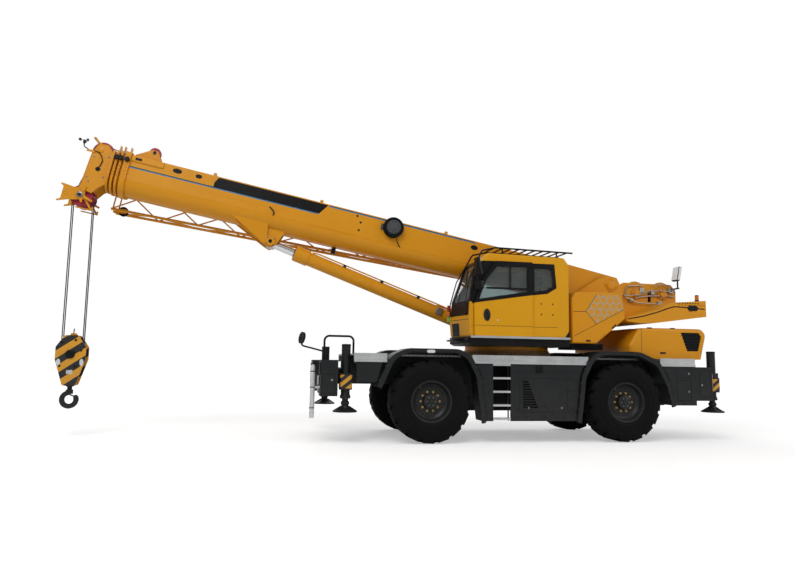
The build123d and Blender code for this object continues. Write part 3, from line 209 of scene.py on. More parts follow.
def make_weathering():
    """Paint that is mottled, dusty low down and scuffed in places."""
    inputs = [("Paint", COLOR, (0.5, 0.5, 0.5, 1)), ("Faded", COLOR, (0.5, 0.5, 0.5, 1)),
              ("Dust", COLOR, (0.3, 0.27, 0.22, 1)), ("Under", COLOR, (0.1, 0.09, 0.08, 1)),
              ("Dust Height", FLOAT, 1.2), ("Dust Amount", FLOAT, 0.3), ("Rub", FLOAT, 0.3),
              ("Gloss Low", FLOAT, 0.3), ("Gloss High", FLOAT, 0.45)]
    tree, start, end = group("weathering", inputs, SKIN)
    link = tree.links.new
    place = object_place(tree)
    broad = noise(tree, place, 1.3, 4)
    fine = noise(tree, place, 14, 4)
    specks = noise(tree, place, 85, 2)
    faded = mix_color(tree, span(tree, broad, 0.38, 0.68), start.outputs["Paint"], start.outputs["Faded"])
    parts = split(tree, place)
    low = span(tree, parts[2], 0.2, start.outputs["Dust Height"], 1, 0)
    splash = math_node(tree, "MULTIPLY", low, span(tree, fine, 0.3, 0.7))
    dusty = math_node(tree, "MULTIPLY", splash, start.outputs["Dust Amount"], True)
    dusted = mix_color(tree, dusty, faded, start.outputs["Dust"])
    scuffs = math_node(tree, "MULTIPLY", span(tree, specks, 0.60, 0.70), span(tree, broad, 0.50, 0.66))
    rubbed = math_node(tree, "MULTIPLY", scuffs, start.outputs["Rub"], True)
    link(mix_color(tree, rubbed, dusted, start.outputs["Under"]), end.inputs["Color"])
    gloss = span(tree, fine, 0.3, 0.7, start.outputs["Gloss Low"], start.outputs["Gloss High"])
    link(math_node(tree, "ADD", gloss, math_node(tree, "MULTIPLY", dusty, 0.4), True),
         end.inputs["Roughness"])
    peel = noise(tree, place, 260, 2)
    link(math_node(tree, "SUBTRACT", peel, math_node(tree, "MULTIPLY", rubbed, 2.0)), end.inputs["Height"])
    return tree


def make_grain():
    """Fine uneven surface for rubber, plastic and castings."""
    inputs = [("Scale", FLOAT, 120.0), ("Light", COLOR, (0.05, 0.05, 0.05, 1)),
              ("Dark", COLOR, (0.02, 0.02, 0.02, 1)), ("Gloss Low", FLOAT, 0.5), ("Gloss High", FLOAT, 0.7)]
    tree, start, end = group("grain", inputs, SKIN)
    place = object_place(tree)
    fine = noise(tree, place, start.outputs["Scale"], 3)
    broad = noise(tree, place, 3.1, 4)
    tone = math_node(tree, "ADD", math_node(tree, "MULTIPLY", fine, 0.35),
                     math_node(tree, "MULTIPLY", broad, 0.65))
    tree.links.new(mix_color(tree, span(tree, tone, 0.35, 0.65), start.outputs["Dark"],
                             start.outputs["Light"]), end.inputs["Color"])
    tree.links.new(span(tree, broad, 0.3, 0.7, start.outputs["Gloss Low"], start.outputs["Gloss High"]),
                   end.inputs["Roughness"])
    tree.links.new(fine, end.inputs["Height"])
    return tree


def make_stripes():
    """Slanted bands: 1 on the dark band, 0 on the light one."""
    tree, start, end = group("slant_bands", [("Period", FLOAT, 0.12), ("Slant", FLOAT, 1.0)],
                             [("Mask", FLOAT)])
    place = object_place(tree)
    parts = split(tree, place)
    across = math_node(tree, "ADD", parts[0], parts[1])
    line = math_node(tree, "ADD", math_node(tree, "MULTIPLY", across, start.outputs["Slant"]), parts[2])
    turn = math_node(tree, "FRACT", math_node(tree, "DIVIDE", line, start.outputs["Period"]))
    tree.links.new(span(tree, turn, 0.49, 0.51), end.inputs["Mask"])
    return tree


def make_brushing():
    """Long fine lines left on rolled or drawn metal."""
    inputs = [("Metal", COLOR, (0.6, 0.6, 0.6, 1)), ("Dull", COLOR, (0.4, 0.4, 0.4, 1)),
              ("Stretch", FLOAT, 60.0), ("Gloss Low", FLOAT, 0.25), ("Gloss High", FLOAT, 0.42)]
    tree, start, end = group("brushing", inputs, SKIN)
    place = object_place(tree)
    parts = split(tree, place)
    joined = add(tree, "ShaderNodeCombineXYZ")
    tree.links.new(math_node(tree, "MULTIPLY", parts[0], 0.6), joined.inputs[0])
    for i in (1, 2):
        tree.links.new(math_node(tree, "MULTIPLY", parts[i], start.outputs["Stretch"]), joined.inputs[i])
    lines = noise(tree, joined.outputs[0], 3.0, 4)
    stain = noise(tree, place, 2.2, 4)
    tree.links.new(mix_color(tree, span(tree, stain, 0.4, 0.7), start.outputs["Metal"],
                             start.outputs["Dull"]), end.inputs["Color"])
    tree.links.new(span(tree, lines, 0.3, 0.7, start.outputs["Gloss Low"], start.outputs["Gloss High"]),
                   end.inputs["Roughness"])
    tree.links.new(lines, end.inputs["Height"])
    return tree


WEATHERING = make_weathering()
GRAIN = make_grain()
BANDS = make_stripes()
BRUSHING = make_brushing()


def new_material(name, metallic=0.0, specular=0.5, coat=0.0):
    """New material, with its node tree and its Principled shader."""
    mat = bpy.data.materials.new(name)
    mat.use_nodes = True
    tree = mat.node_tree
    shader = tree.nodes["Principled BSDF"]
    shader.inputs["Metallic"].default_value = metallic
    shader.inputs["Specular IOR Level"].default_value = specular
    if coat:
        shader.inputs["Coat Weight"].default_value = coat
        shader.inputs["Coat Roughness"].default_value = 0.12
    return mat, tree, shader


def use_group(tree, shared, **values):
    node = tree.nodes.new("ShaderNodeGroup")
    node.node_tree = shared
    for key, value in values.items():
        node.inputs[key.replace("_", " ")].default_value = value
    return node


def bump(tree, shader, height, strength, distance):
    node = add(tree, "ShaderNodeBump", i_Strength=strength, i_Distance=distance)
    tree.links.new(height, node.inputs["Height"])
    tree.links.new(node.outputs[0], shader.inputs["Normal"])


def wire(tree, shader, skin, color=None):
    """Links a group's roughness to the shader, and its colour or the one given."""
    tree.links.new(skin.outputs["Color"] if color is None else color, shader.inputs["Base Color"])
    tree.links.new(skin.outputs["Roughness"], shader.inputs["Roughness"])


def rgba(r, g, b):
    return (r, g, b, 1.0)


def painted(name, paint, faded, under, dust_height=1.3, dust=0.35, rub=0.5, low=0.30, high=0.44, coat=0.06,
            specular=0.28):
    mat, tree, shader = new_material(name, coat=coat, specular=specular)
    worn = use_group(tree, WEATHERING, Paint=rgba(*paint), Faded=rgba(*faded), Under=rgba(*under),
                     Dust_Height=dust_height, Dust_Amount=dust, Rub=rub, Gloss_Low=low, Gloss_High=high)
    wire(tree, shader, worn)
    bump(tree, shader, worn.outputs["Height"], 0.05, 0.002)
    return mat


def grained(name, light, dark, scale=120.0, low=0.5, high=0.7, depth=0.15, specular=0.5):
    mat, tree, shader = new_material(name, specular=specular)
    skin = use_group(tree, GRAIN, Scale=scale, Light=rgba(*light), Dark=rgba(*dark), Gloss_Low=low,
                     Gloss_High=high)
    wire(tree, shader, skin)
    bump(tree, shader, skin.outputs["Height"], depth, 0.002)
    return mat


def brushed(name, metal, dull, stretch=60.0, low=0.22, high=0.40):
    mat, tree, shader = new_material(name, metallic=1.0)
    skin = use_group(tree, BRUSHING, Metal=rgba(*metal), Dull=rgba(*dull), Stretch=stretch, Gloss_Low=low,
                     Gloss_High=high)
    wire(tree, shader, skin)
    bump(tree, shader, skin.outputs["Height"], 0.06, 0.001)
    return mat


def banded(name, light, dark, period, slant):
    """Warning bands in two paints."""
    mat, tree, shader = new_material(name, coat=0.2)
    bands = use_group(tree, BANDS, Period=period, Slant=slant)
    worn = use_group(tree, WEATHERING, Paint=rgba(*light), Faded=rgba(*(c * 0.93 for c in light)),
                     Under=rgba(0.2, 0.18, 0.16), Dust_Height=1.3, Dust_Amount=0.25, Rub=0.5,
                     Gloss_Low=0.3, Gloss_High=0.45)
    wire(tree, shader, worn, mix_color(tree, bands.outputs[0], worn.outputs["Color"], rgba(*dark)))
    bump(tree, shader, worn.outputs["Height"], 0.05, 0.002)
    return mat


def clear_glass(name, tint):
    mat, tree, shader = new_material(name)
    shader.inputs["Transmission Weight"].default_value = 0.92
    shader.inputs["IOR"].default_value = 1.45
    skin = use_group(tree, GRAIN, Scale=6.0, Light=rgba(*tint), Dark=rgba(*(c * 0.9 for c in tint)),
                     Gloss_Low=0.02, Gloss_High=0.05)
    wire(tree, shader, skin)
    return mat


PILLAR_BACK = 0.930
PILLAR_FOOT = 2.575
PILLAR_TOP = 3.300


def black_pillars(mat):
    """Between the sill and the edge of the roof, the cab's front pillars are black."""
    tree = mat.node_tree
    color = tree.nodes["Principled BSDF"].inputs["Base Color"]
    spot = split(tree, object_place(tree))
    front = math_node(tree, "GREATER_THAN", spot["X"], PILLAR_BACK)
    above = math_node(tree, "GREATER_THAN", spot["Z"], PILLAR_FOOT)
    below = math_node(tree, "LESS_THAN", spot["Z"], PILLAR_TOP)
    mask = math_node(tree, "MULTIPLY", front, math_node(tree, "MULTIPLY", above, below))
    tree.links.new(mix_color(tree, mask, color.links[0].from_socket, rgba(*BLACK)), color)


YELLOW = (0.67, 0.274, 0.004)
CAB_YELLOW = (0.70, 0.325, 0.002)
BLACK = (0.004, 0.004, 0.0045)
CHARCOAL = (0.012, 0.0135, 0.0145)

boom_paint = painted("boom_paint", YELLOW, (0.70, 0.290, 0.006), (0.50, 0.20, 0.01), 0.6, 0.1)
cab_paint = painted("cab_paint", CAB_YELLOW, (0.72, 0.336, 0.003), (0.54, 0.23, 0.01), 0.6, 0.1, coat=0.08)
black_pillars(cab_paint)
dark_paint = painted("dark_paint", CHARCOAL, (0.016, 0.0175, 0.0185), (0.05, 0.05, 0.05), 1.3, 0.06,
                     low=0.34, high=0.46, coat=0.0)
black_paint = painted("black_paint", BLACK, (0.007, 0.007, 0.008), (0.02, 0.02, 0.02), 1.0, 0.1, low=0.30,
                      high=0.42, coat=0.0, specular=0.2)
dark_plastic = grained("dark_plastic", (0.022, 0.022, 0.024), (0.014, 0.014, 0.015), 160, 0.45, 0.62,
                       specular=0.3)
rubber = grained("rubber", (0.008, 0.008, 0.0085), (0.004, 0.004, 0.0045), 70, 0.66, 0.86, depth=0.3,
                 specular=0.12)
bright_trim = brushed("bright_trim", (0.80, 0.81, 0.81), (0.62, 0.64, 0.65))
pipe_metal = brushed("pipe_metal", (0.44, 0.42, 0.39), (0.28, 0.26, 0.23), 30)
bare_steel = brushed("bare_steel", (0.30, 0.285, 0.265), (0.18, 0.165, 0.15), 20, 0.34, 0.54)
chrome = brushed("chrome_rod", (0.86, 0.87, 0.88), (0.78, 0.79, 0.80), 90, 0.06, 0.14)
brass = brushed("brass_nuts", (0.60, 0.42, 0.16), (0.42, 0.28, 0.10), 20, 0.3, 0.5)
window_glass = clear_glass("window_glass", (0.44, 0.52, 0.52))
film = grained("wrapping_film", (0.72, 0.73, 0.73), (0.60, 0.61, 0.62), 30, 0.15, 0.35, depth=0.5)
red_lens = grained("red_lens", (0.45, 0.015, 0.012), (0.32, 0.010, 0.008), 40, 0.10, 0.2)
amber_lens = grained("amber_lens", (0.75, 0.20, 0.02), (0.60, 0.15, 0.015), 40, 0.10, 0.2)
green_lens = grained("green_lens", (0.18, 0.55, 0.10), (0.12, 0.45, 0.08), 40, 0.10, 0.2)
crimson = painted("crimson", (0.35, 0.022, 0.045), (0.40, 0.03, 0.055), (0.2, 0.15, 0.15), 0.5, 0.0)
blue_line = painted("blue_line", (0.006, 0.20, 0.42), (0.010, 0.23, 0.46), (0.3, 0.2, 0.1), 0.5, 0.0, rub=0.1)
hazard = banded("hazard_bands", (0.72, 0.33, 0.015), (0.012, 0.012, 0.013), 0.16, 0.8)
block_bands = banded("block_bands", (0.72, 0.33, 0.015), (0.012, 0.012, 0.013), 0.29, 0.71)
pale_lens = grained("pale_lens", (0.74, 0.76, 0.77), (0.60, 0.62, 0.63), 60, 0.06, 0.14)
screen_glass = grained("screen_glass", (0.012, 0.014, 0.015), (0.008, 0.009, 0.010), 5, 0.03, 0.07, depth=0.0)
mirror_face = brushed("mirror_face", (0.80, 0.82, 0.83), (0.72, 0.74, 0.75), 4, 0.03, 0.06)
ring_steel = brushed("ring_steel", (0.34, 0.22, 0.12), (0.24, 0.15, 0.08), 20, 0.35, 0.55)
reel_grey = painted("reel_grey", (0.080, 0.086, 0.090), (0.065, 0.070, 0.073), (0.15, 0.15, 0.15), 0.5,
                    0.0, low=0.3, high=0.45, coat=0.0)
ring_paint = painted("ring_paint", (0.42, 0.16, 0.02), (0.33, 0.13, 0.02), (0.2, 0.16, 0.12), 0.6, 0.0,
                     rub=0.9)


def deck_material():
    """Checker plate: raised lozenges in rows that cross at right angles."""
    mat, tree, shader = new_material("checker_plate", metallic=0.85)
    skin = use_group(tree, BRUSHING, Metal=rgba(0.46, 0.47, 0.47), Dull=rgba(0.30, 0.30, 0.29),
                     Stretch=10.0, Gloss_Low=0.35, Gloss_High=0.55)
    place = object_place(tree)
    rows = []
    for angle in (0.785, -0.785):
        turn = add(tree, "ShaderNodeMapping", i_Rotation=(0, 0, angle), i_Scale=(18, 50, 1))
        tree.links.new(place, turn.inputs["Vector"])
        cells = add(tree, "ShaderNodeTexVoronoi", voronoi_dimensions="2D", i_Scale=1.0, i_Randomness=0.0)
        tree.links.new(turn.outputs[0], cells.inputs["Vector"])
        rows.append(span(tree, cells.outputs["Distance"], 0.42, 0.28))
    tread = math_node(tree, "MAXIMUM", rows[0], rows[1])
    wire(tree, shader, skin, mix_color(tree, tread, skin.outputs["Color"], rgba(0.60, 0.61, 0.61)))
    bump(tree, shader, tread, 0.6, 0.004)
    return mat


def rope_material():
    """Wire rope: strands laid round the line."""
    mat, tree, shader = new_material("wire_rope", metallic=0.4)
    skin = use_group(tree, BRUSHING, Metal=rgba(0.085, 0.082, 0.08), Dull=rgba(0.045, 0.043, 0.04),
                     Stretch=40.0, Gloss_Low=0.35, Gloss_High=0.5)
    bands = use_group(tree, BANDS, Period=0.03, Slant=1.4)
    wire(tree, shader, skin, mix_color(tree, bands.outputs[0], skin.outputs["Color"], rgba(0.02, 0.02, 0.02)))
    bump(tree, shader, bands.outputs[0], 0.5, 0.003)
    return mat


def cloth_material():
    """Seat cloth: two crossing sets of threads, darker between them."""
    mat, tree, shader = new_material("seat_cloth", specular=0.2)
    place = object_place(tree)
    threads = []
    for direction in ("X", "Y"):
        wave = add(tree, "ShaderNodeTexWave", bands_direction=direction, i_Scale=110.0, i_Distortion=0.6,
                   i_Detail=1.0)
        tree.links.new(place, wave.inputs["Vector"])
        threads.append(wave.outputs["Fac"])
    weave = math_node(tree, "MULTIPLY", threads[0], threads[1])
    worn = noise(tree, place, 4.0, 4)
    tone = mix_color(tree, worn, rgba(0.020, 0.021, 0.023), rgba(0.032, 0.033, 0.036))
    tree.links.new(mix_color(tree, weave, tone, rgba(0.055, 0.056, 0.060)), shader.inputs["Base Color"])
    tree.links.new(span(tree, worn, 0.3, 0.7, 0.80, 0.95), shader.inputs["Roughness"])
    bump(tree, shader, weave, 0.5, 0.002)
    return mat


seat_cloth = cloth_material()
deck_plate = deck_material()
wire_rope = rope_material()

FINISHES = (
    (dark_paint, "chassis_frame axles outrigger_boxes fenders side_panels cabinets hook knuckle rim "
                 "outrigger_beam outrigger_jack"),
    (boom_paint, "battery_hood turntable counterweight winches side_covers boom_base boom_section_2 "
                 "boom_section_3 boom_head jib lift_barrel"),
    (black_paint, "front_rail cab_base cab_guards boom_fittings"),
    (cab_paint, "cab_shell cab_door"),
    (window_glass, "cab_glass door_glass"),
    (bright_trim, "deck_trim ladder door_rail"),
    (dark_plastic, "battery_pack cab_interior upper_lamps"),
    (deck_plate, "deck"), (ring_paint, "slewing_ring"), (film, "guard_post"), (pale_lens, "lamps"),
    (crimson, "head_sheaves"), (chrome, "lift_rod"), (wire_rope, "hoist_ropes"),
    (block_bands, "hook_block"), (rubber, "tyre"))
NODE_FINISH = {name: mat for mat, names in FINISHES for name in names.split()}


def finish_nodes():
    """Each solid's finish, by its name or, for those at the four corners, by the start of it."""
    for name, obj in nodes.items():
        key = name if name in NODE_FINISH else max((k for k in NODE_FINISH if name.startswith(k)), key=len)
        obj.data.materials.clear()
        obj.data.materials.append(NODE_FINISH[key])


# Stage: a white floor just below the wheels, a white world and three large lamps
FLOOR_HALF = 60
FLOOR_Z = -0.002
LAMPS = (("key", (9, 13, 15), (1, 0, 2), 12, 1500), ("fill", (-13, 9, 9), (-1, 0, 2), 12, 520),
         ("back", (2, -14, 13), (1, 0, 2), 14, 700))


def floor_material():
    """Pale floor that brightens towards the edge of the view, so that it runs into the world's white."""
    mat, tree, shader = new_material("studio_floor")
    skin = use_group(tree, GRAIN, Scale=2.0, Light=rgba(0.93, 0.93, 0.93), Dark=rgba(0.90, 0.90, 0.90),
                     Gloss_Low=0.8, Gloss_High=0.9)
    wire(tree, shader, skin)
    shader.inputs["Specular IOR Level"].default_value = 0.1
    path = add(tree, "ShaderNodeLightPath")
    shader.inputs["Emission Color"].default_value = rgba(1, 1, 1)
    place = object_place(tree)
    reach = add(tree, "ShaderNodeVectorMath", operation="LENGTH")
    tree.links.new(place, reach.inputs[0])
    glow = span(tree, reach.outputs["Value"], 7.0, 24.0, 0.38, 0.80)
    tree.links.new(math_node(tree, "MULTIPLY", path.outputs["Is Camera Ray"], glow),
                   shader.inputs["Emission Strength"])
    return mat


def set_stage():
    """Floor, world and lamps."""
    mesh = bpy.data.meshes.new("floor")
    mesh.from_pydata([(a * FLOOR_HALF, b * FLOOR_HALF, FLOOR_Z) for a, b in SQUARE], [], [(0, 1, 2, 3)])
    floor = bpy.data.objects.new("floor", mesh)
    scene.collection.objects.link(floor)
    mesh.materials.append(floor_material())
    world = bpy.data.worlds.new("studio")
    scene.world = world
    world.use_nodes = True
    tree = world.node_tree
    sky = tree.nodes["Background"]
    sky.inputs["Color"].default_value = rgba(1, 1, 1)
    path = add(tree, "ShaderNodeLightPath")
    seen = math_node(tree, "MAXIMUM", path.outputs["Is Camera Ray"], path.outputs["Is Transmission Ray"])
    tree.links.new(span(tree, seen, 0, 1, 0.36, 1.0), sky.inputs["Strength"])
    for name, spot, aim, size, power in LAMPS:
        data = bpy.data.lights.new(name, "AREA")
        data.shape = "DISK"
        data.size = size
        data.energy = power
        lamp = bpy.data.objects.new(name, data)
        scene.collection.objects.link(lamp)
        lamp.location = spot
        lamp.rotation_euler = (Vector(aim) - Vector(spot)).to_track_quat("-Z", "Y").to_euler()


place_camera()
set_stage()
finish_nodes()


# Mesh makers

SHARP_ANGLE = math.radians(32)


def new_piece(name, mesh, mat, body, bevel=0.0, smooth=True):
    """Object for a mesh, finished, softened at its edges and riding on a body."""
    obj = bpy.data.objects.new(name, mesh)
    scene.collection.objects.link(obj)
    mesh.materials.append(mat)
    if bevel:
        soft = obj.modifiers.new("soft_edges", "BEVEL")
        soft.width = bevel
        soft.segments = 2
        soft.limit_method = "ANGLE"
    if smooth:
        mesh.shade_smooth()
        mesh.set_sharp_from_angle(angle=SHARP_ANGLE)
    if body:
        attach(obj, body)
    return obj


def piece_of(bm, name, mat, body, bevel=0.0, smooth=True):
    """Piece from the faces drawn so far, with all of them turned outward."""
    bmesh.ops.recalc_face_normals(bm, faces=bm.faces)
    mesh = bpy.data.meshes.new(name)
    bm.to_mesh(mesh)
    bm.free()
    return new_piece(name, mesh, mat, body, bevel, smooth)


def put_prism(bm, base, lift):
    """Closed prism: a loop of points and the same loop moved by lift."""
    low = [bm.verts.new(p) for p in base]
    high = [bm.verts.new(Vector(p) + lift) for p in base]
    bm.faces.new(low)
    bm.faces.new(list(reversed(high)))
    for i in range(len(low)):
        j = (i + 1) % len(low)
        bm.faces.new((low[j], low[i], high[i], high[j]))


def prisms(name, solids, mat, body, bevel=0.0):
    """Prisms in one piece, each from a loop of points and a lift."""
    bm = bmesh.new()
    for loop, lift in solids:
        put_prism(bm, loop, lift)
    return piece_of(bm, name, mat, body, bevel)


def side_plates(name, outlines, y, thick, mat, body, sides=(1,), bevel=0.0, spot=lambda *place: place):
    """Flat plates standing on a side face at y, drawn in X and Z."""
    solids = [([spot(a, side * y, b) for a, b in outline], Vector((0, side * thick, 0)))
              for side in sides for outline in outlines]
    return prisms(name, solids, mat, body, bevel)


def boom_plates(*plan):
    """Flat plates on the boom's side, drawn along and out of the boom."""
    return side_plates(*plan, spot=along_boom)


def box_set(name, boxes, mat, body, bevel=0.004):
    """Blocks between pairs of corners, in one piece."""
    solids = [([(x0, y0, z0), (x1, y0, z0), (x1, y1, z0), (x0, y1, z0)], Vector((0, 0, z1 - z0)))
              for (x0, y0, z0), (x1, y1, z1) in boxes]
    return prisms(name, solids, mat, body, bevel)


def boom_boxes(name, boxes, mat, body, bevel=0.0):
    """Blocks square to the boom, from pairs of corners along, across and out."""
    solids = [(boom_line((u0, y0, v0), (u1, y0, v0), (u1, y1, v0), (u0, y1, v0)), BOOM_UP * (v1 - v0))
              for (u0, y0, v0), (u1, y1, v1) in boxes]
    return prisms(name, solids, mat, body, bevel)


def across(axis):
    """Two unit vectors square to an axis."""
    axis = Vector(axis).normalized()
    first = axis.cross(Vector((0, 0, 1)) if abs(axis.z) < 0.9 else Vector((1, 0, 0))).normalized()
    return axis, first, axis.cross(first)


def turned_rings(bm, profile, spot, axis, steps):
    """Rings of points about an axis through spot, one for each (along, radius) point."""
    axis, first, second = across(axis)
    return [[bm.verts.new(Vector(spot) + axis * reach + (first * c + second * s) * radius)
             for c, s in circle(steps)] for reach, radius in profile]


def skin_rings(bm, rings):
    """Faces between each ring of points and the next."""
    for low, high in zip(rings, rings[1:]):
        for i in range(len(low)):
            j = (i + 1) % len(low)
            bm.faces.new((low[i], low[j], high[j], high[i]))


def put_turned(bm, profile, spot, axis, steps):
    """Solid turned about an axis through spot."""
    rings = turned_rings(bm, profile, spot, axis, steps)
    skin_rings(bm, rings)
    bm.faces.new(list(reversed(rings[0])))
    bm.faces.new(rings[-1])


def put_lathe(bm, profile, spot, axis, steps):
    """Hollow ring turned about an axis from a closed profile."""
    rings = turned_rings(bm, profile, spot, axis, steps)
    skin_rings(bm, rings + rings[:1])


def put_ring(bm, spot, axis, radius, reach, rise, steps):
    """Low rounded ring standing on a face square to the axis."""
    edge = ((-0.012, -0.004), (-0.007, rise), (0.007, rise), (0.012, -0.004))
    put_lathe(bm, [(reach + lift, radius + out) for out, lift in edge], spot, axis, steps)


def put_ring_tube(bm, spot, radius, thick):
    """Torus square to the vehicle's side."""
    rings = []
    for c, s in circle(64):
        out = Vector((c, 0, s))
        rings.append([bm.verts.new(spot + out * (radius + thick * cb) + Vector((0, thick * sb, 0)))
                      for cb, sb in circle(8)])
    skin_rings(bm, rings + rings[:1])


def turned_set(name, profile, spots, axis, mat, body, steps=24):
    """Solids turned from one profile, one at each spot, in one piece."""
    bm = bmesh.new()
    for spot in spots:
        put_turned(bm, profile, spot, axis, steps)
    return piece_of(bm, name, mat, body)


def bolts(name, spots, axis, radius, height, mat, body):
    """Hexagon heads on washers."""
    washer = [(0, radius * 1.35), (height * 0.25, radius * 1.35)]
    head = [(height * 0.25, radius), (height * 0.85, radius), (height, radius * 0.8)]
    bm = bmesh.new()
    for spot in spots:
        put_turned(bm, washer, spot, axis, 16)
        put_turned(bm, head, spot, axis, 6)
    return piece_of(bm, name, mat, body, smooth=False)


def tubes(name, routes, radius, mat, body, order=3, closed=False):
    """Round bars or pipes along smooth lines or loops, in one piece."""
    curve = bpy.data.curves.new(name, "CURVE")
    curve.dimensions = "3D"
    curve.bevel_depth = radius
    curve.bevel_resolution = 3
    curve.resolution_u = 3 if closed else 6
    curve.use_fill_caps = not closed
    for route in routes:
        line = curve.splines.new("NURBS")
        line.points.add(len(route) - 1)
        for point, spot in zip(line.points, route):
            point.co = (*spot, 1)
        line.order_u = order
        line.use_cyclic_u = closed
        line.use_endpoint_u = not closed
    shape = bpy.data.objects.new(name + "_line", curve)
    mesh = bpy.data.meshes.new_from_object(shape)
    bpy.data.objects.remove(shape)
    mesh.name = name
    mesh.materials.clear()
    return new_piece(name, mesh, mat, body)


def frame_plate(name, outer, inner, y, thick, mat, body):
    """Flat frame with one opening; outer and inner have the same count of points in X and Z."""
    bm = bmesh.new()
    lift = Vector((0, thick, 0))
    rings = []
    for outline in (outer, inner):
        low = [bm.verts.new((x, y, z)) for x, z in outline]
        high = [bm.verts.new(Vector((x, y, z)) + lift) for x, z in outline]
        rings.append((low, high))
    (out_low, out_high), (in_low, in_high) = rings
    for i in range(len(outer)):
        j = (i + 1) % len(outer)
        bm.faces.new((out_high[i], out_high[j], in_high[j], in_high[i]))
        bm.faces.new((out_low[i], in_low[i], in_low[j], out_low[j]))
        bm.faces.new((out_low[i], out_low[j], out_high[j], out_high[i]))
        bm.faces.new((in_low[i], in_high[i], in_high[j], in_low[j]))
    return piece_of(bm, name, mat, body)


def seam(points, width=0.007):
    """Narrow strips along a line in X and Z, as outlines."""
    strips = []
    for (x0, z0), (x1, z1) in zip(points, points[1:]):
        run = Vector((x1 - x0, z1 - z0))
        side = Vector((-run.y, run.x)).normalized() * width / 2
        strips.append([(x0 + side.x, z0 + side.y), (x1 + side.x, z1 + side.y), (x1 - side.x, z1 - side.y),
                       (x0 - side.x, z0 - side.y)])
    return strips


# Wheels

CORNERS = {"front_left": (AXLE_X, 1), "front_right": (AXLE_X, -1), "rear_left": (-AXLE_X, 1),
           "rear_right": (-AXLE_X, -1)}


def dress_wheel(corner):
    """Nuts, hub, ribs, tyre, rim lip and valve of one wheel."""
    x, side = CORNERS[corner]
    body = "wheel_" + corner
    axis = (0, side, 0)
    face = Vector((x, side * TRACK_HALF, WHEEL_Z))
    web = face + Vector((0, side * 0.095, 0))
    ring = [web + Vector((c, 0, s)) * 0.175 for c, s in circle(10)]
    bolts("wheel_nuts_" + corner, ring, axis, 0.016, 0.032, brass, body)
    cap = face + Vector((0, side * 0.185, 0))
    ring = [cap + Vector((c, 0, s)) * 0.078 for c, s in circle(6)]
    bolts("hub_bolts_" + corner, ring, axis, 0.009, 0.010, bare_steel, body)
    turned_set("hub_cap_" + corner, [(-0.002, 0.055), (0.010, 0.052), (0.016, 0.030)], [cap], axis,
               dark_paint, body)
    bm = bmesh.new()
    for radius, reach in ((0.448, 0.2525), (0.470, 0.2565), (0.528, 0.2590), (0.556, 0.2582)):
        put_ring(bm, face, axis, radius, reach, 0.004, 96)
    piece_of(bm, "sidewall_ribs_" + corner, rubber, body)
    make_tyre(corner, face)
    lip = [(0.205, 0.352), (0.219, 0.356), (0.2235, 0.366), (0.222, 0.376), (0.214, 0.380), (0.205, 0.376)]
    bm = bmesh.new()
    put_lathe(bm, lip, face, axis, 96)
    piece_of(bm, "rim_lip_" + corner, dark_paint, body)
    valve = face + Vector((0, side * 0.150, 0)) + Vector((0.2, 0, 0.24)).normalized() * 0.318
    stem = [(-0.030, 0.006), (0.030, 0.006), (0.034, 0.0085), (0.050, 0.0085)]
    turned_set("tyre_valve_" + corner, stem, [valve], axis, bare_steel, body, 12)


# Tyres

LUG_COUNT = 16
LUG_TURN = 2 * math.pi / LUG_COUNT
TYRE_HALF = 0.260
TYRE_R = 0.745
CASING = [(0.218, 0.373), (0.228, 0.392), (0.244, 0.420), (0.256, 0.465), (0.2595, 0.505), (0.258, 0.560),
          (0.254, 0.610), (0.245, 0.648), (0.226, 0.678), (0.190, 0.698), (0.080, 0.704), (0.072, 0.742)]
LUG_LINE = [(0.066, 0.7450), (0.120, 0.7450), (0.176, 0.7440), (0.200, 0.7300), (0.228, 0.6960),
            (0.249, 0.6620), (0.256, 0.6240)]


def put_lug(bm, spot, side, middle):
    """One tread lug from the middle band out over the shoulder; its sides lean with the groove."""
    rows = []
    for y, radius in LUG_LINE:
        lean = (y - TYRE_HALF) * math.tan(math.radians(20)) / TYRE_R
        wide = LUG_TURN / 2 - (0.040 if y < 0.20 else 0.036) / radius
        row = []
        for turn, drop in ((-wide - 0.010, 0.044), (-wide, 0.004), (-wide + 0.008, 0.0),
                           (wide - 0.008, 0.0), (wide, 0.004), (wide + 0.010, 0.044)):
            a = middle + turn - lean
            inward = min(1.0, max(0.0, (y - 0.200) / 0.05))
            r = radius - drop * (1 - inward)
            out = y - drop * inward
            row.append(bm.verts.new(spot + Vector((math.sin(a) * r, side * out, math.cos(a) * r))))
        rows.append(row)
    for low, high in zip(rows, rows[1:]):
        for i in range(len(low) - 1):
            bm.faces.new((low[i], low[i + 1], high[i + 1], high[i]))
    bm.faces.new(rows[-1])
    bm.faces.new(list(reversed(rows[0])))
    for low, high in zip(rows, rows[1:]):
        bm.faces.new((low[-1], low[0], high[0], high[-1]))


def make_tyre(corner, spot):
    """Casing and lugs of one tyre, drawn in place of its plain solid."""
    name = "road_tyre_" + corner
    bm = bmesh.new()
    profile = [(-y, r) for y, r in CASING] + [(y, r) for y, r in reversed(CASING)]
    put_lathe(bm, profile, spot, SIDEWAYS, 96)
    for side in BOTH:
        for i in range(LUG_COUNT):
            put_lug(bm, spot, side, (i + 0.5 + side / 4) * LUG_TURN)
    piece = piece_of(bm, name, rubber, "wheel_" + corner)
    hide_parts("tyre_" + corner)


# Cab

DOOR_Y = 1.335
DOOR_EDGE = [(1.104, 2.545), (0.935, 3.010), (0.700, 3.332)]
SHELL_Y = 1.285


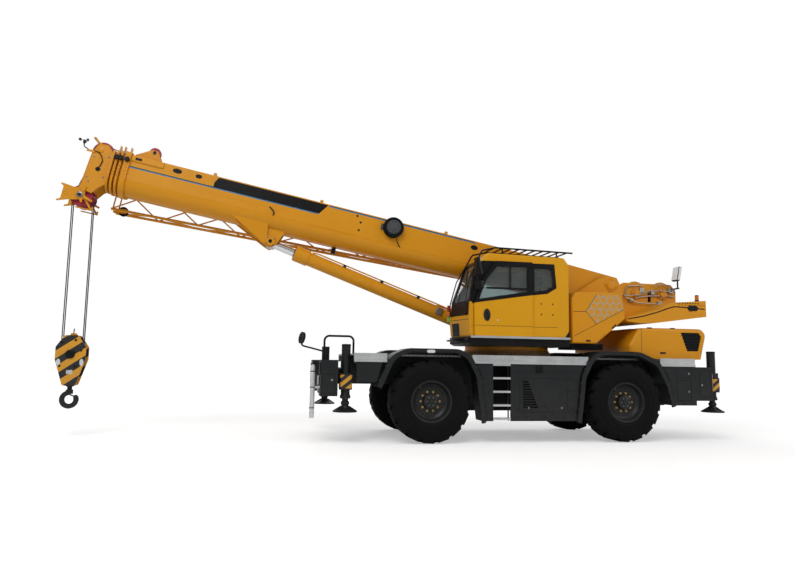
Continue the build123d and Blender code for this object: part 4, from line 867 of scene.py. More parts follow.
def dress_cab():
    """Window borders, seams, painted shade in the creases and the door's handle on the near side of the cab.
    """
    body = "superstructure"
    outer = [(-0.055, 3.335), (-0.055, 2.727), (-0.350, 2.766), (-0.537, 2.880), (-0.497, 3.335)]
    inner = [(-0.090, 3.244), (-0.090, 2.792), (-0.336, 2.830), (-0.466, 2.914), (-0.436, 3.240)]
    frame_plate("quarter_surround", outer, inner, SHELL_Y - 0.001, 0.004, black_paint, body)
    outer = [(1.103, 2.549), (0.935, 3.010), (0.690, 3.345), (-0.035, 3.345), (-0.035, 2.726)]
    inner = [(1.012, 2.622), (0.872, 2.990), (0.668, 3.242), (0.070, 3.247), (0.070, 2.784)]
    frame_plate("door_surround", outer, inner, DOOR_Y, 0.003, black_paint, "cab_door")
    pillar = [(1.110, 2.530), (1.410, 2.590), (1.380, 2.640), (1.030, 3.300), (0.940, 3.345), (0.660, 3.350),
              (0.905, 3.010), (1.070, 2.560)]
    side_plates("front_pillar", [pillar], SHELL_Y - 0.001, 0.004, black_paint, body)
    edges = []
    for line, y0, y1, lift in ((DOOR_EDGE, 1.291, 1.337, 0.0025), (inner + inner[:1], 1.302, 1.336, 0.0015)):
        for (x0, z0), (x1, z1) in zip(line, line[1:]):
            edges.append(([(x0, y0, z0), (x1, y0, z1), (x1, y1, z1), (x0, y1, z0)],
                          Vector((lift, 0, 0.0012))))
    prisms("door_edges", edges, black_paint, "cab_door")
    tubes("pillar_edge", [[(1.418, 1.268, 2.595), (1.036, 1.268, 3.308)]], 0.020, black_paint, body, 2)
    side_plates("door_seams", seam([(1.112, 1.945), (1.112, 2.470)], 0.010), SHELL_Y, 0.0015, black_paint,
                body)
    # Dark strips along the creases of the cab's side and door: painted shade in the creases.
    creases = seam([(-0.060, 2.130), (-0.560, 2.130)], 0.006) + seam([(1.118, 2.135), (1.40, 2.105)], 0.006)
    side_plates("shell_crease_painted_shade", creases, SHELL_Y, 0.0012, dark_plastic, body)
    side_plates("door_crease_painted_shade", seam([(1.095, 2.135), (-0.035, 2.130)], 0.006), DOOR_Y, 0.0012,
                dark_plastic, "cab_door")
    turned_set("panel_plugs", [(0, 0.016), (0.0012, 0.0145)],
               [(x, SHELL_Y, z) for x in (-0.225, -0.455) for z in (2.37, 2.57)], SIDEWAYS, dark_plastic,
               body, 16)
    side_plates("corner_guard", [[(-0.790, 1.935), (-0.790, 2.080), (-0.690, 1.935)]], SHELL_Y, 0.004,
                black_paint, body)
    side_plates("handle_dish", [oval(0.865, 2.330, 0.068, 0.115, 32)], DOOR_Y, 0.008, dark_plastic,
                "cab_door", bevel=0.004)
    grip = [(0.840, DOOR_Y + 0.008, 2.25), (0.845, DOOR_Y + 0.03, 2.29), (0.86, DOOR_Y + 0.03, 2.37),
            (0.87, DOOR_Y + 0.008, 2.41)]
    tubes("handle_grip", [grip], 0.011, black_paint, "cab_door")
    turned_set("door_lock", [(0, 0.017), (0.006, 0.015), (0.008, 0.008)], [(0.66, DOOR_Y, 2.235)],
               SIDEWAYS, bright_trim, "cab_door", 20)


# Cab inside

CAB_MIDDLE = 0.860


def cushion(name, centre, size, lean, crown, channels, mat, body):
    """Crowned seat pad: a rounded block with swelling faces and sewn channels across the front one."""
    wide, deep, thick = (s / 2 for s in size)
    count = 28
    bm = bmesh.new()
    grid = {}
    for face in (1, -1):
        for i in range(count + 1):
            for j in range(count + 1):
                a = -1 + 2 * i / count
                b = -1 + 2 * j / count
                edge = (1 - a ** 6) * (1 - b ** 6)
                pull = 1 - 0.05 * (1 - abs(a) ** 2) * abs(b) ** 8 - 0.05 * (1 - abs(b) ** 2) * abs(a) ** 8
                rise = thick * (0.35 + 0.65 * edge ** 0.35) + crown * edge * (1 - 0.5 * a * a - 0.5 * b * b)
                if face > 0 and channels:
                    rise -= 0.010 * edge * max(0.0, 1 - abs(math.sin(math.pi * channels * (b + 1) / 2)) * 6)
                key = (i, j, face if edge > 1e-6 else 0)
                if key not in grid:
                    spot = Vector((b * deep * pull, a * wide * pull, face * rise if edge > 1e-6 else 0))
                    grid[key] = bm.verts.new(spot)
    for face in (1, -1):
        for i in range(count):
            for j in range(count):
                ring = []
                for di, dj in ((0, 0), (1, 0), (1, 1), (0, 1)):
                    key = (i + di, j + dj, face)
                    ring.append(grid.get(key) or grid[(i + di, j + dj, 0)])
                bm.faces.new(ring if face < 0 else list(reversed(ring)))
    turn = Matrix.Translation(centre) @ Matrix.Rotation(math.radians(lean), 4, "Y")
    bmesh.ops.transform(bm, matrix=turn, verts=bm.verts)
    piece = piece_of(bm, name, mat, body)
    return piece


def dress_interior():
    """Seat, arm consoles, steering wheel, display, pedals and floor mat."""
    body = "superstructure"
    y = CAB_MIDDLE
    base = cushion("seat_cushion", (0.0, y, 2.325), (0.48, 0.52, 0.120), 0, 0.018, 4, seat_cloth, body)
    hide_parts("cab_interior")
    cushion("seat_back", (-0.300, y, 2.650), (0.46, 0.60, 0.100), 99, 0.016, 4, seat_cloth, body)
    cushion("head_rest", (-0.358, y, 3.045), (0.24, 0.18, 0.070), 97, 0.012, 0, seat_cloth, body)
    for side, name in SIDES:
        arm = y + side * 0.285
        cushion("arm_pad_" + name, (0.03, arm, 2.545), (0.075, 0.34, 0.050), 0, 0.006, 0, seat_cloth, body)
        consoles = [((-0.14, arm - 0.036, 2.385), (0.245, arm + 0.036, 2.515))]
        box_set("arm_console_" + name, consoles, dark_plastic, body, 0.012)
        tubes("lever_" + name, [[(0.20, arm, 2.51), (0.21, arm, 2.58), (0.215, arm, 2.66)]],
              0.009, black_paint, body)
        turned_set("lever_grip_" + name, [(0, 0.014), (0.03, 0.022), (0.085, 0.024), (0.11, 0.012)],
                   [(0.215, arm, 2.64)], (0.05, 0, 1), dark_plastic, body, 20)
    shells = [((-0.11, y - 0.11, 1.982), (0.05, y + 0.11, 2.03)),
              ((-0.13, y - 0.14, 2.20), (0.09, y + 0.14, 2.255))]
    box_set("seat_base", shells, dark_plastic, body, 0.01)
    folds = [(0.015 + 0.02 * i, 0.115 if i % 2 else 0.092) for i in range(8)]
    turned_set("seat_bellows", [(0.0, 0.10)] + folds + [(0.175, 0.10)], [(-0.03, y, 2.03)], UPWARD, rubber,
               body, 32)
    column = [(0.905, 1.985), (1.055, 1.985), (0.962, 2.25), (0.850, 2.555), (0.805, 2.555)]
    side_plates("steering_column", [column], y - 0.055, 0.11, dark_plastic, body, bevel=0.015)
    hub = Vector((0.800, y, 2.590))
    tilt = Vector((-0.45, 0, 0.9)).normalized()
    first, second = across(tilt)[1:]
    rim = [hub + (first * c + second * s) * 0.185 for c, s in circle(24)]
    tubes("steering_rim", [rim], 0.015, dark_plastic, body, closed=True)
    spokes = [[hub, hub + (first * math.cos(a) + second * math.sin(a)) * 0.178]
              for a in (math.radians(d) for d in (30, 150, 270))]
    tubes("steering_spokes", spokes, 0.011, dark_plastic, body, 2)
    turned_set("steering_hub", [(-0.02, 0.045), (0.012, 0.05), (0.02, 0.03)], [hub], tilt, dark_plastic,
               body, 24)
    box_set("display_case", [((0.988, 0.565, 2.425), (1.018, 0.735, 2.695)),
                             ((1.01, 0.61, 1.99), (1.06, 0.69, 2.45))], dark_plastic, body, 0.01)
    box_set("display_screen", [((0.984, 0.578, 2.45), (0.990, 0.722, 2.665))], screen_glass, body, 0.002)
    box_set("cab_floor_mat", [((-0.55, 0.50, 1.981), (1.15, 1.22, 1.990))], rubber, body, 0.003)
    box_set("pedals", [((1.10, y - 0.16, 2.03), (1.20, y - 0.07, 2.06)),
                       ((1.10, y + 0.07, 2.03), (1.20, y + 0.16, 2.06)),
                       ((1.16, y - 0.13, 1.985), (1.18, y - 0.10, 2.035)),
                       ((1.16, y + 0.10, 1.985), (1.18, y + 0.13, 2.035))], black_paint, body, 0.004)


# Cab outside

SCREEN_FOOT = Vector((1.420, 0.0, 2.600))
SCREEN_TOP = Vector((1.040, 0.0, 3.310))
SCREEN_OUT = Vector((0.710, 0.0, 0.380)).normalized()


def on_screen(share, y, lift):
    """Point on the slope of the windscreen: share 0 at its foot and 1 at its head."""
    spot = SCREEN_FOOT.lerp(SCREEN_TOP, share) + SCREEN_OUT * lift
    return Vector((spot.x, y, spot.z))


def screen_strips(name, strips, mat, body):
    """Flat strips on the windscreen's slope from (share, share, y, y)."""
    solids = []
    for s0, s1, y0, y1 in strips:
        loop = [on_screen(share, y, -0.001) for share, y in ((s0, y0), (s0, y1), (s1, y1), (s1, y0))]
        solids.append((loop, SCREEN_OUT * 0.005))
    return prisms(name, solids, mat, body)


def nose_plates(name, spans, mat, body, thick=0.004):
    """Plates on the cab's nose face from (z, z, y, y)."""
    solids = []
    for z0, z1, y0, y1 in spans:
        loop = []
        for z, y in ((z0, y0), (z0, y1), (z1, y1), (z1, y0)):
            x = 1.440 + (z - 1.930) / 0.320 * 0.050 if z < 2.25 else 1.490 - (z - 2.250) / 0.350 * 0.070
            loop.append((x - 0.001, y, z))
        solids.append((loop, Vector((thick, 0, 0))))
    return prisms(name, solids, mat, body)


def dress_cab_front():
    """Windscreen borders, nose, painted shade on the lower window and the nose's crease, wiper, mirrors,
    signal tower and front step.
    """
    body = "superstructure"
    screen_strips("screen_pillars", [(-0.01, 1.06, 1.190, 1.262), (-0.01, 1.06, 0.452, 0.525),
                                     (0.985, 1.06, 0.452, 1.262)], black_paint, body)
    # Black plate over the lower window: painted shade for the dark footwell behind its glass.
    nose_plates("lower_screen_painted_shade", [(2.33, 2.59, 0.48, 1.235)], black_paint, body)
    nose_plates("nose_vent", [(1.950, 2.190, 0.555, 0.850)], black_paint, body)
    # Dark strip along the fold of the nose: painted shade in the crease.
    nose_plates("nose_crease_painted_shade", [(2.245, 2.255, 0.47, 1.245)], dark_plastic, body, 0.002)
    sweep = [on_screen(0.01, 0.80, 0.012), on_screen(0.05, 0.80, 0.022), on_screen(0.30, 0.90, 0.022),
             on_screen(0.52, 0.98, 0.016)]
    tubes("wiper_arm", [sweep], 0.007, black_paint, body)
    tubes("wiper_blade", [[on_screen(0.26, 0.97, 0.008), on_screen(0.52, 0.985, 0.010),
                           on_screen(0.80, 1.00, 0.008)]], 0.008, rubber, body)
    bars = [((0.398, 1.337, 2.845), (0.424, 1.343, 3.270)), ((0.060, 1.337, 2.815), (0.880, 1.343, 2.850))]
    box_set("window_bars", bars, black_paint, "cab_door", 0.002)
    roof = [((-0.20, 0.56, 3.480), (0.55, 1.15, 3.4945))]
    box_set("roof_pane", roof, screen_glass, body, 0.003)
    glass = []
    for x, z, tall, wide in ((1.085, 3.210, 0.150, 0.080), (1.045, 2.865, 0.060, 0.075)):
        turn = (Matrix.Translation((x, 1.430, z)) @ Matrix.Rotation(math.radians(25), 4, "Z")
                @ Matrix.Rotation(math.radians(12), 4, "Y"))
        loop = [turn @ Vector((-0.034, a * wide, b * tall)) for a, b in SQUARE]
        glass.append((loop, turn.to_3x3() @ Vector((-0.003, 0, 0))))
    prisms("mirror_glass", glass, mirror_face, body)
    tower_y = 0.430 - 0.0263
    for z, mat, name in ((2.235, green_lens, "low"), (2.345, amber_lens, "middle"),
                         (2.455, red_lens, "high")):
        turned_set("signal_" + name, [(0, 0.027), (0.004, 0.0285), (0.088, 0.0285), (0.092, 0.027)],
                   [(1.340, tower_y, z)], UPWARD, mat, body, 28)
    step = [(1.180, 1.842), (1.200, 1.912), (1.320, 1.902), (1.440, 1.868), (1.440, 1.845)]
    side_plates("nose_step", [step], 0.620, 0.440, black_paint, body, bevel=0.006)
    treads = [((1.215 + 0.036 * i, 0.660, 1.903 - 0.0075 * i),
               (1.229 + 0.036 * i, 1.020, 1.914 - 0.0085 * i)) for i in range(4)]
    box_set("step_treads", treads, dark_plastic, body, 0.002)
    plugs = [(x, 1.31, 1.9455) for x in (-0.70, -0.30, 0.10, 0.50, 0.90, 1.30)]
    bolts("rail_bolts", plugs, UPWARD, 0.010, 0.010, bare_steel, body)


# How far the cab's nose is drawn back, and the pieces that go with it
NOSE_START = 1.110
NOSE_FAR = 0.430
NOSE_NEAR = 1.285
NOSE_DRAW_FAR = 0.40
NOSE_DRAW_NEAR = 0.80
CAB_FRONT = ("front_pillar", "door_seams", "shell_crease_painted_shade", "pillar_edge", "screen_pillars",
             "lower_screen_painted_shade", "nose_vent", "nose_crease_painted_shade", "wiper_arm", "wiper_blade", "rail_bolts")


def taper_cab():
    """Draws the cab's nose back towards the door side, as its front narrows in plan."""
    tree = bpy.data.node_groups.new("cab_taper", "GeometryNodeTree")
    tree.interface.new_socket("Geometry", in_out="INPUT", socket_type="NodeSocketGeometry")
    tree.interface.new_socket("Geometry", in_out="OUTPUT", socket_type="NodeSocketGeometry")
    start = tree.nodes.new("NodeGroupInput")
    end = tree.nodes.new("NodeGroupOutput")
    parts = split(tree, add(tree, "GeometryNodeInputPosition").outputs[0])
    ahead = math_node(tree, "MAXIMUM", math_node(tree, "SUBTRACT", parts[0], NOSE_START), 0.0)
    drawn = span(tree, parts[1], NOSE_FAR, NOSE_NEAR, NOSE_DRAW_FAR, NOSE_DRAW_NEAR)
    joined = add(tree, "ShaderNodeCombineXYZ")
    tree.links.new(math_node(tree, "MULTIPLY", math_node(tree, "MULTIPLY", ahead, drawn), -1.0),
                   joined.inputs[0])
    move = add(tree, "GeometryNodeSetPosition")
    tree.links.new(start.outputs[0], move.inputs["Geometry"])
    tree.links.new(joined.outputs[0], move.inputs["Offset"])
    tree.links.new(move.outputs[0], end.inputs[0])
    shapes = [nodes[name] for name in ("cab_shell", "cab_glass", "cab_base", "cab_guards", "door_rail")]
    shapes += [bpy.data.objects[name] for name in CAB_FRONT]
    for shape in shapes:
        shape.modifiers.new("cab_taper", "NODES").node_group = tree


# Carrier

def dress_panels():
    """Louvres with painted shade behind them, creases, seams and locks on the skirt panels and cabinets."""
    body = "carrier"
    y = CARRIER_HALF
    blades = []
    for i in range(11):
        z = 0.640 + 0.046 * i
        left = -0.115 + (z - 0.640) * 0.375
        blades.append([(0.172, z + 0.024), (left + 0.009, z + 0.024), (left + 0.014, z + 0.036),
                       (0.172, z + 0.036)])
    side_plates("panel_louvres", blades, y - 0.002, 0.009, dark_paint, body, BOTH, 0.003)
    # Black sheet behind the louvre blades: painted shade for the dark inside of the vent.
    back = [(0.205, 0.600), (0.205, 1.175), (0.030, 1.175), (-0.160, 0.600)]
    side_plates("vent_painted_shade", [back], 1.235, 0.006, black_paint, body, BOTH)
    creases = (seam([(0.190, 1.182), (-0.950, 1.190)], 0.014)
               + seam([(-0.118, 0.674), (-0.433, 0.675), (-0.596, 0.951), (-0.917, 0.953)], 0.022)
               + seam([(0.229, 1.140), (0.229, 0.619), (0.136, 0.565), (-0.880, 0.566)], 0.014))
    side_plates("panel_creases", creases, y - 0.001, 0.007, dark_paint, body, BOTH, 0.003)
    seams = seam([(-0.705, 1.185), (-0.701, 0.572)], 0.006) + seam([(0.40, 1.30), (-0.99, 1.30)], 0.006)
    side_plates("panel_seams", seams, y, 0.0015, black_paint, body, BOTH)
    lines = [[(3.853, 1.208), (3.629, 1.208), (3.629, 0.870), (3.853, 0.870), (3.853, 1.208)],
             [(-2.965, 1.379), (-3.290, 1.379), (-3.290, 1.225), (-2.965, 1.225), (-2.965, 1.379)],
             [(-2.985, 1.172), (-3.285, 1.172), (-3.285, 0.784), (-2.985, 0.784), (-2.985, 1.172)],
             [(-3.480, 1.360), (-3.720, 1.360), (-3.720, 0.840), (-3.480, 0.840), (-3.480, 1.360)]]
    strips = [seam(line, 0.007) for line in lines]
    side_plates("cabinet_seams", sum(strips, []), y, 0.0015, black_paint, body)
    side_plates("cabinet_seams_right", sum(strips[1:], []), y, 0.0015, black_paint, body, (-1,))
    spots = [(3.689, 1.11), (-3.236, 0.954), (-3.24, 1.30), (0.064, 0.637), (-0.588, 0.639), (-3.52, 1.08)]
    for name, side, places in (("panel_locks", 1, spots), ("panel_locks_right", -1, spots[1:])):
        turned_set(name, [(0, 0.022), (0.008, 0.020), (0.012, 0.012)], [(x, side * y, z) for x, z in places],
                   (0, side, 0), bare_steel, body, 20)
    side_plates("panel_socket", [[(-0.077, 1.405), (-0.223, 1.405), (-0.223, 1.269), (-0.077, 1.269)]],
                y - 0.001, 0.004, black_paint, body, BOTH)


def dress_fenders():
    """Clips along the edges of the mudguards."""
    body = "carrier"
    foot = [(-0.984, 0.62), (-0.945, 0.85), (-0.916, 1.10), (-0.830, 1.370)]
    front = foot + [(-0.60, 1.625), (0.62, 1.595), (0.83, 1.37), (0.94, 1.12)]
    rear = foot + [(-0.60, 1.635), (0.52, 1.585), (0.78, 1.36), (0.90, 1.12)]
    boxes = []
    for sign, points in ((1, front), (-1, rear)):
        for dx, z in points:
            x = sign * (AXLE_X + dx)
            for side in BOTH:
                boxes.append(((x - 0.035, side * 1.366, z - 0.012), (x + 0.035, side * 1.374, z + 0.012)))
    box_set("fender_clips", boxes, dark_plastic, body, 0.003)


def dress_jacks():
    """Warning bands, caps, glands and foot ribs on the four jacks."""
    spots = {"front_left": (3.430, 1), "front_right": (3.605, -1), "rear_left": (-3.880, 1),
             "rear_right": (-4.055, -1)}
    for name, (x, side) in spots.items():
        beam = "beam_" + name
        w, y, r = 0.111, side * 1.135, 0.030
        loop = []
        for cx, cy, first in ((w - r, w - r, 0), (-w + r, w - r, 90), (-w + r, -w + r, 180),
                              (w - r, -w + r, 270)):
            for k in range(4):
                a = math.radians(first + 30 * k)
                loop.append((x + cx + r * math.cos(a), y + cy + r * math.sin(a), 0.965))
        prisms("jack_bands_" + name, [(loop, Vector((0, 0, 0.235)))], hazard, beam)
        turned_set("jack_cap_" + name, [(0, 0.084), (0.018, 0.084), (0.028, 0.070)], [(x, y, 1.716)],
                   UPWARD, black_paint, beam, 32)
        turned_set("jack_gland_" + name, [(0, 0.097), (0.022, 0.097), (0.030, 0.090)], [(x, y, 0.800)],
                   UPWARD, dark_paint, beam, 32)
        heads = [(x + 0.078 * math.cos(a), y + 0.078 * math.sin(a), 0.790)
                 for a in (math.radians(30 + 60 * k) for k in range(6))]
        bolts("jack_bolts_" + name, heads, (0, 0, -1), 0.008, 0.010, bare_steel, beam)
        foot = "jack_" + name
        ribs = []
        for k in range(6):
            a = math.radians(60 * k)
            out = Vector((math.cos(a), math.sin(a), 0))
            tang = Vector((-math.sin(a), math.cos(a), 0)) * 0.006
            loop = [Vector((x, y, 0)) + out * reach - tang + Vector((0, 0, z)) for reach, z in
                    ((0.075, 0.62), (0.205, 0.572), (0.205, 0.580), (0.075, 0.660))]
            ribs.append((loop, tang * 2))
        prisms("foot_ribs_" + name, ribs, dark_paint, foot)


# Lamps and small fittings on the carrier

def dress_lamps():
    """Lenses and bezels of the lamps, the beacon and the flood lamp."""
    body = "carrier"
    boxes = []
    rims = []
    for side in BOTH:
        boxes.append(((-3.7690, side * 1.254, 1.018), (-3.756, side * 1.3305, 1.302)))
        for z0, z1, y0, y1, x in ((1.000, 1.190, 0.990, 1.110, 3.900), (0.872, 0.968, 1.002, 1.098, 3.898)):
            rims.append(((3.888, side * y0, z0), (x, side * (y0 + 0.012), z1)))
            rims.append(((3.888, side * (y1 - 0.012), z0), (x, side * y1, z1)))
            rims.append(((3.888, side * y0, z0), (x, side * y1, z0 + 0.012)))
            rims.append(((3.888, side * y0, z1 - 0.012), (x, side * y1, z1)))
    box_set("tail_lenses", boxes, red_lens, body, 0.003)
    box_set("lamp_bezels", rims, black_paint, body, 0.003)
    ambers = [((-3.7695, side * 1.256, 1.112), (-3.7560, side * 1.3312, 1.205)) for side in BOTH]
    box_set("turn_lenses", ambers, amber_lens, body, 0.003)
    corner = [[(-3.690, 2.600), (-3.775, 2.590), (-3.780, 2.460), (-3.700, 2.455)]]
    side_plates("weight_lamps", corner, 1.186, 0.004, red_lens, "superstructure", BOTH, 0.002)
    x, y = -3.850, 0.820
    lens = [(0, 0.038), (0.004, 0.0385), (0.080, 0.0385), (0.098, 0.034), (0.108, 0.018)]
    turned_set("beacon_lens", lens, [(x, y, 2.802)], UPWARD, amber_lens, "superstructure", 32)
    turned_set("beacon_base", [(0, 0.046), (0.020, 0.046), (0.026, 0.040)], [(x, y, 2.757)], UPWARD,
               black_paint, "superstructure", 32)
    spot = Vector((-3.610, 0.520, 3.375))
    turn = Matrix.Translation(spot) @ Matrix.Rotation(math.radians(-12), 4, "Y")
    lift = turn.to_3x3()
    glass = []
    for sign in BOTH:
        loop = [turn @ Vector((sign * 0.0345, a * 0.092, b * 0.136)) for a, b in SQUARE]
        glass.append((loop, lift @ Vector((sign * 0.004, 0, 0))))
    loop = [turn @ Vector((a * 0.026, 0.1045, b * 0.136)) for a, b in SQUARE]
    glass.append((loop, lift @ Vector((0, 0.003, 0))))
    prisms("flood_lens", glass, pale_lens, "superstructure")
    fin = ((-0.03, -0.104), (0.03, -0.104), (0.03, -0.112), (-0.03, -0.112))
    fins = []
    for b in (-0.11 + 0.044 * i for i in range(6)):
        loop = [turn @ Vector((a, y, b)) for a, y in fin]
        fins.append((loop, lift @ Vector((0, 0, 0.010))))
    prisms("flood_fins", fins, dark_plastic, "superstructure")


def dress_post():
    """Film wrapped round the marker post in uneven turns, held by two straps."""
    body = "carrier"
    x, y = 4.018, 1.200
    profile = []
    for i in range(40):
        z = 0.455 + 0.0225 * i
        profile.append((z, 0.0405 + 0.0025 * math.sin(i * 1.9) + 0.0015 * math.sin(i * 4.7)))
    turned_set("post_film", profile, [(x, y, 0)], UPWARD, film, body, 28)
    straps = [(0, 0.0475), (0.014, 0.0475)]
    turned_set("post_straps", straps, [(x, y, z) for z in (0.62, 0.975, 1.25)], UPWARD, black_paint, body, 28)
    folds = []
    for k in range(3):
        a = math.radians(40 + 110 * k)
        folds.append([(x + 0.043 * math.cos(a + 0.9 * t), y + 0.043 * math.sin(a + 0.9 * t),
                       0.48 + 0.82 * t) for t in (i / 8 for i in range(9))])
    tubes("film_folds", folds, 0.004, film, body)


def dress_hood():
    """Black louvre blades over the hood's vents, hinges and grips."""
    body = "carrier"
    boxes = []
    hinges = []
    for side in BOTH:
        for i in range(6):
            z = 1.765 + 0.060 * i
            rear = -3.580 - (z - 1.740) / 0.290 * 0.080 if z < 2.03 else -3.655 + (z - 2.03) / 0.075 * 0.05
            front = -3.330 + (z - 1.740) / 0.365 * 0.130
            boxes.append(((rear + 0.012, side * 1.137, z - 0.004), (front - 0.012, side * 1.1795, z + 0.019)))
        for x in (-2.55, -3.05):
            hinges.append(((x - 0.05, side * 1.120, 2.176), (x + 0.05, side * 1.160, 2.194)))
        hinges.append(((-2.86, side * 1.178, 1.68), (-2.74, side * 1.192, 1.715)))
    box_set("hood_blades", boxes, black_paint, body, 0.003)
    box_set("hood_hinges", hinges, dark_plastic, body, 0.006)
    ridge = []
    for i in range(8):
        x = -2.50 - i * 0.13
        ridge.append(((x - 0.045, -0.60, 2.183), (x + 0.045, 0.60, 2.190)))
    box_set("hood_top_grille", ridge, black_paint, body, 0.003)


def dress_ladder():
    """Grip studs on the rungs and the uprights that carry them."""
    body = "carrier"
    studs = []
    rails = []
    for side in BOTH:
        for i in range(5):
            z = 0.420 + 0.245 * i + 0.035
            studs += [(0.445 + 0.054 * k, side * yy, z) for k in range(6) for yy in (1.235, 1.275, 1.310)]
        for x in (0.416, 0.724):
            rails.append(((x, side * 1.212, 0.402), (x + 0.015, side * 1.250, 1.432)))
    turned_set("rung_studs", [(0, 0.009), (0.004, 0.006)], studs, UPWARD, bright_trim, body, 10)
    box_set("ladder_rails", rails, dark_paint, body, 0.003)


def dress_axles():
    """Bolts, clamps and brake lines on the axles, and the hub carriers' caps."""
    for x, end in ((AXLE_X, "front"), (-AXLE_X, "rear")):
        spots = [(x + 0.205 * c, 0.122, WHEEL_Z + 0.205 * s) for c, s in circle(16)]
        bolts("axle_bolts_" + end, spots, SIDEWAYS, 0.012, 0.014, bare_steel, "carrier")
        bends = ((0.20, 0.16), (0.32, 0.15), (0.60, 0.145), (0.72, 0.20))
        lines = [[(x - 0.05, side * out, WHEEL_Z + rise) for out, rise in bends] for side in BOTH]
        tubes("brake_lines_" + end, lines, 0.008, pipe_metal, "carrier")
        clamps = [((x - 0.12, side * 0.270 - 0.02, WHEEL_Z - 0.145),
                   (x + 0.12, side * 0.270 + 0.02, WHEEL_Z - 0.128)) for side in BOTH]
        box_set("axle_clamps_" + end, clamps, dark_paint, "carrier", 0.005)
        for side, name in SIDES:
            body = f"knuckle_{end}_{name}"
            y = side * 0.905
            for z, lift, label in ((WHEEL_Z + 0.236, 1, "top"), (WHEEL_Z - 0.236, -1, "low")):
                turned_set(f"kingpin_{label}_{end}_{name}", [(0, 0.040), (0.008, 0.040), (0.012, 0.030)],
                           [(x, y, z - lift * 0.004)], (0, 0, lift), bare_steel, body, 28)


# Rear of the superstructure

def honeycomb_material():
    """Plain honeycomb: pale cell walls over the yellow, from two offset grids of cells."""
    mat, tree, shader = new_material("honeycomb", coat=0.25)
    worn = use_group(tree, WEATHERING, Paint=rgba(*YELLOW), Faded=rgba(0.66, 0.275, 0.018),
                     Under=rgba(0.25, 0.12, 0.03), Dust_Height=0.6, Dust_Amount=0.0, Rub=0.2,
                     Gloss_Low=0.26, Gloss_High=0.4)
    place = object_place(tree)
    parts = split(tree, place)
    cell = 0.135
    tall = cell * math.sqrt(3)
    nearest = []
    for shift in (0.0, 0.5):
        spread = []
        for axis, size in ((0, cell), (2, tall)):
            count = math_node(tree, "ADD", math_node(tree, "DIVIDE", parts[axis], size), 40.5 + shift)
            off = math_node(tree, "SUBTRACT", math_node(tree, "FRACT", count), 0.5)
            spread.append(math_node(tree, "ABSOLUTE", math_node(tree, "MULTIPLY", off, size)))
        slope = math_node(tree, "ADD", math_node(tree, "MULTIPLY", spread[0], 0.5),
                          math_node(tree, "MULTIPLY", spread[1], 0.8660254))
        nearest.append(math_node(tree, "MAXIMUM", spread[0], slope))
    rim = math_node(tree, "MINIMUM", nearest[0], nearest[1])
    wall = span(tree, rim, cell * 0.44, cell * 0.46)
    wire(tree, shader, worn, mix_color(tree, wall, worn.outputs["Color"], rgba(0.25, 0.42, 0.37)))
    bump(tree, shader, worn.outputs["Height"], 0.05, 0.002)
    return mat


COVER_Y = 1.195
WEIGHT_Y = 1.200
HOOD_Y = 1.180


def dress_rear():
    """Seams, slots and plain markings on the side covers, the counterweight and the hood; the slots and the
    hood's vents hold painted shade.
    """
    body = "superstructure"
    y = COVER_Y
    comb = honeycomb_material()
    patch = [(-1.403, 2.800), (-1.850, 2.806), (-1.945, 2.690), (-1.962, 2.520), (-1.390, 2.235),
             (-1.192, 2.464)]
    side_plates("honeycomb_patch", [patch], y - 0.0005, 0.0015, comb, body, BOTH)
    lines = (seam([(-0.925, 1.985), (-1.390, 2.223), (-1.970, 2.516)], 0.008)
             + seam([(-1.182, 2.464), (-0.915, 2.456)], 0.008)
             + seam([(-1.390, 2.223), (-1.182, 2.464), (-1.415, 2.812)], 0.008))
    side_plates("cover_seams", lines, y, 0.0015, dark_plastic, body, BOTH)
    # Black plates in the covers' slots: painted shade for their dark insides.
    slots = [[(-1.715, 2.165), (-1.795, 2.235), (-1.812, 2.215), (-1.732, 2.145)],
             [(-1.167, 1.917), (-1.262, 1.917), (-1.262, 1.885), (-1.167, 1.885)]]
    side_plates("cover_slots_painted_shade", slots, y - 0.001, 0.003, black_paint, body, BOTH)
    pin = [(-2.060, 2.345), (-2.377, 2.405), (-2.685, 2.490), (-2.940, 2.580), (-3.080, 2.615),
           (-3.362, 2.605), (-3.740, 2.582)]
    side_plates("weight_stripe", seam(pin, 0.022), WEIGHT_Y, 0.002, black_paint, body, BOTH)
    hexagon = [(-3.350, 2.595), (-3.400, 2.648), (-3.560, 2.648), (-3.610, 2.595), (-3.560, 2.540),
               (-3.400, 2.540)]
    side_plates("weight_badge", [hexagon], WEIGHT_Y, 0.003, black_paint, body, BOTH)
    # Black plates in the counterweight's slots: painted shade for their dark insides.
    slots = []
    for i in range(9):
        front, rear = -3.12 - i * 0.058, -3.15 - i * 0.058
        slots.append([(front, 2.700), (rear, 2.700), (rear, 2.680), (front, 2.680)])
    side_plates("weight_slots_painted_shade", slots, WEIGHT_Y, 0.002, black_paint, body, BOTH)
    side_plates("hood_seams", seam([(-2.350, 2.170), (-2.343, 1.700)], 0.006), HOOD_Y, 0.0015,
                dark_plastic, "carrier", BOTH)
    # Black sheet behind the hood's louvre blades: painted shade for the dark inside of the vent.
    vent_shade = [(-3.205, 2.100), (-3.605, 2.100), (-3.655, 2.030), (-3.580, 1.745), (-3.335, 1.745)]
    side_plates("hood_vent_painted_shade", [vent_shade], 1.146, 0.004, black_paint, "carrier", BOTH)


DRUMS_X = (-2.770, -3.370)
DRUM_Z = 2.960


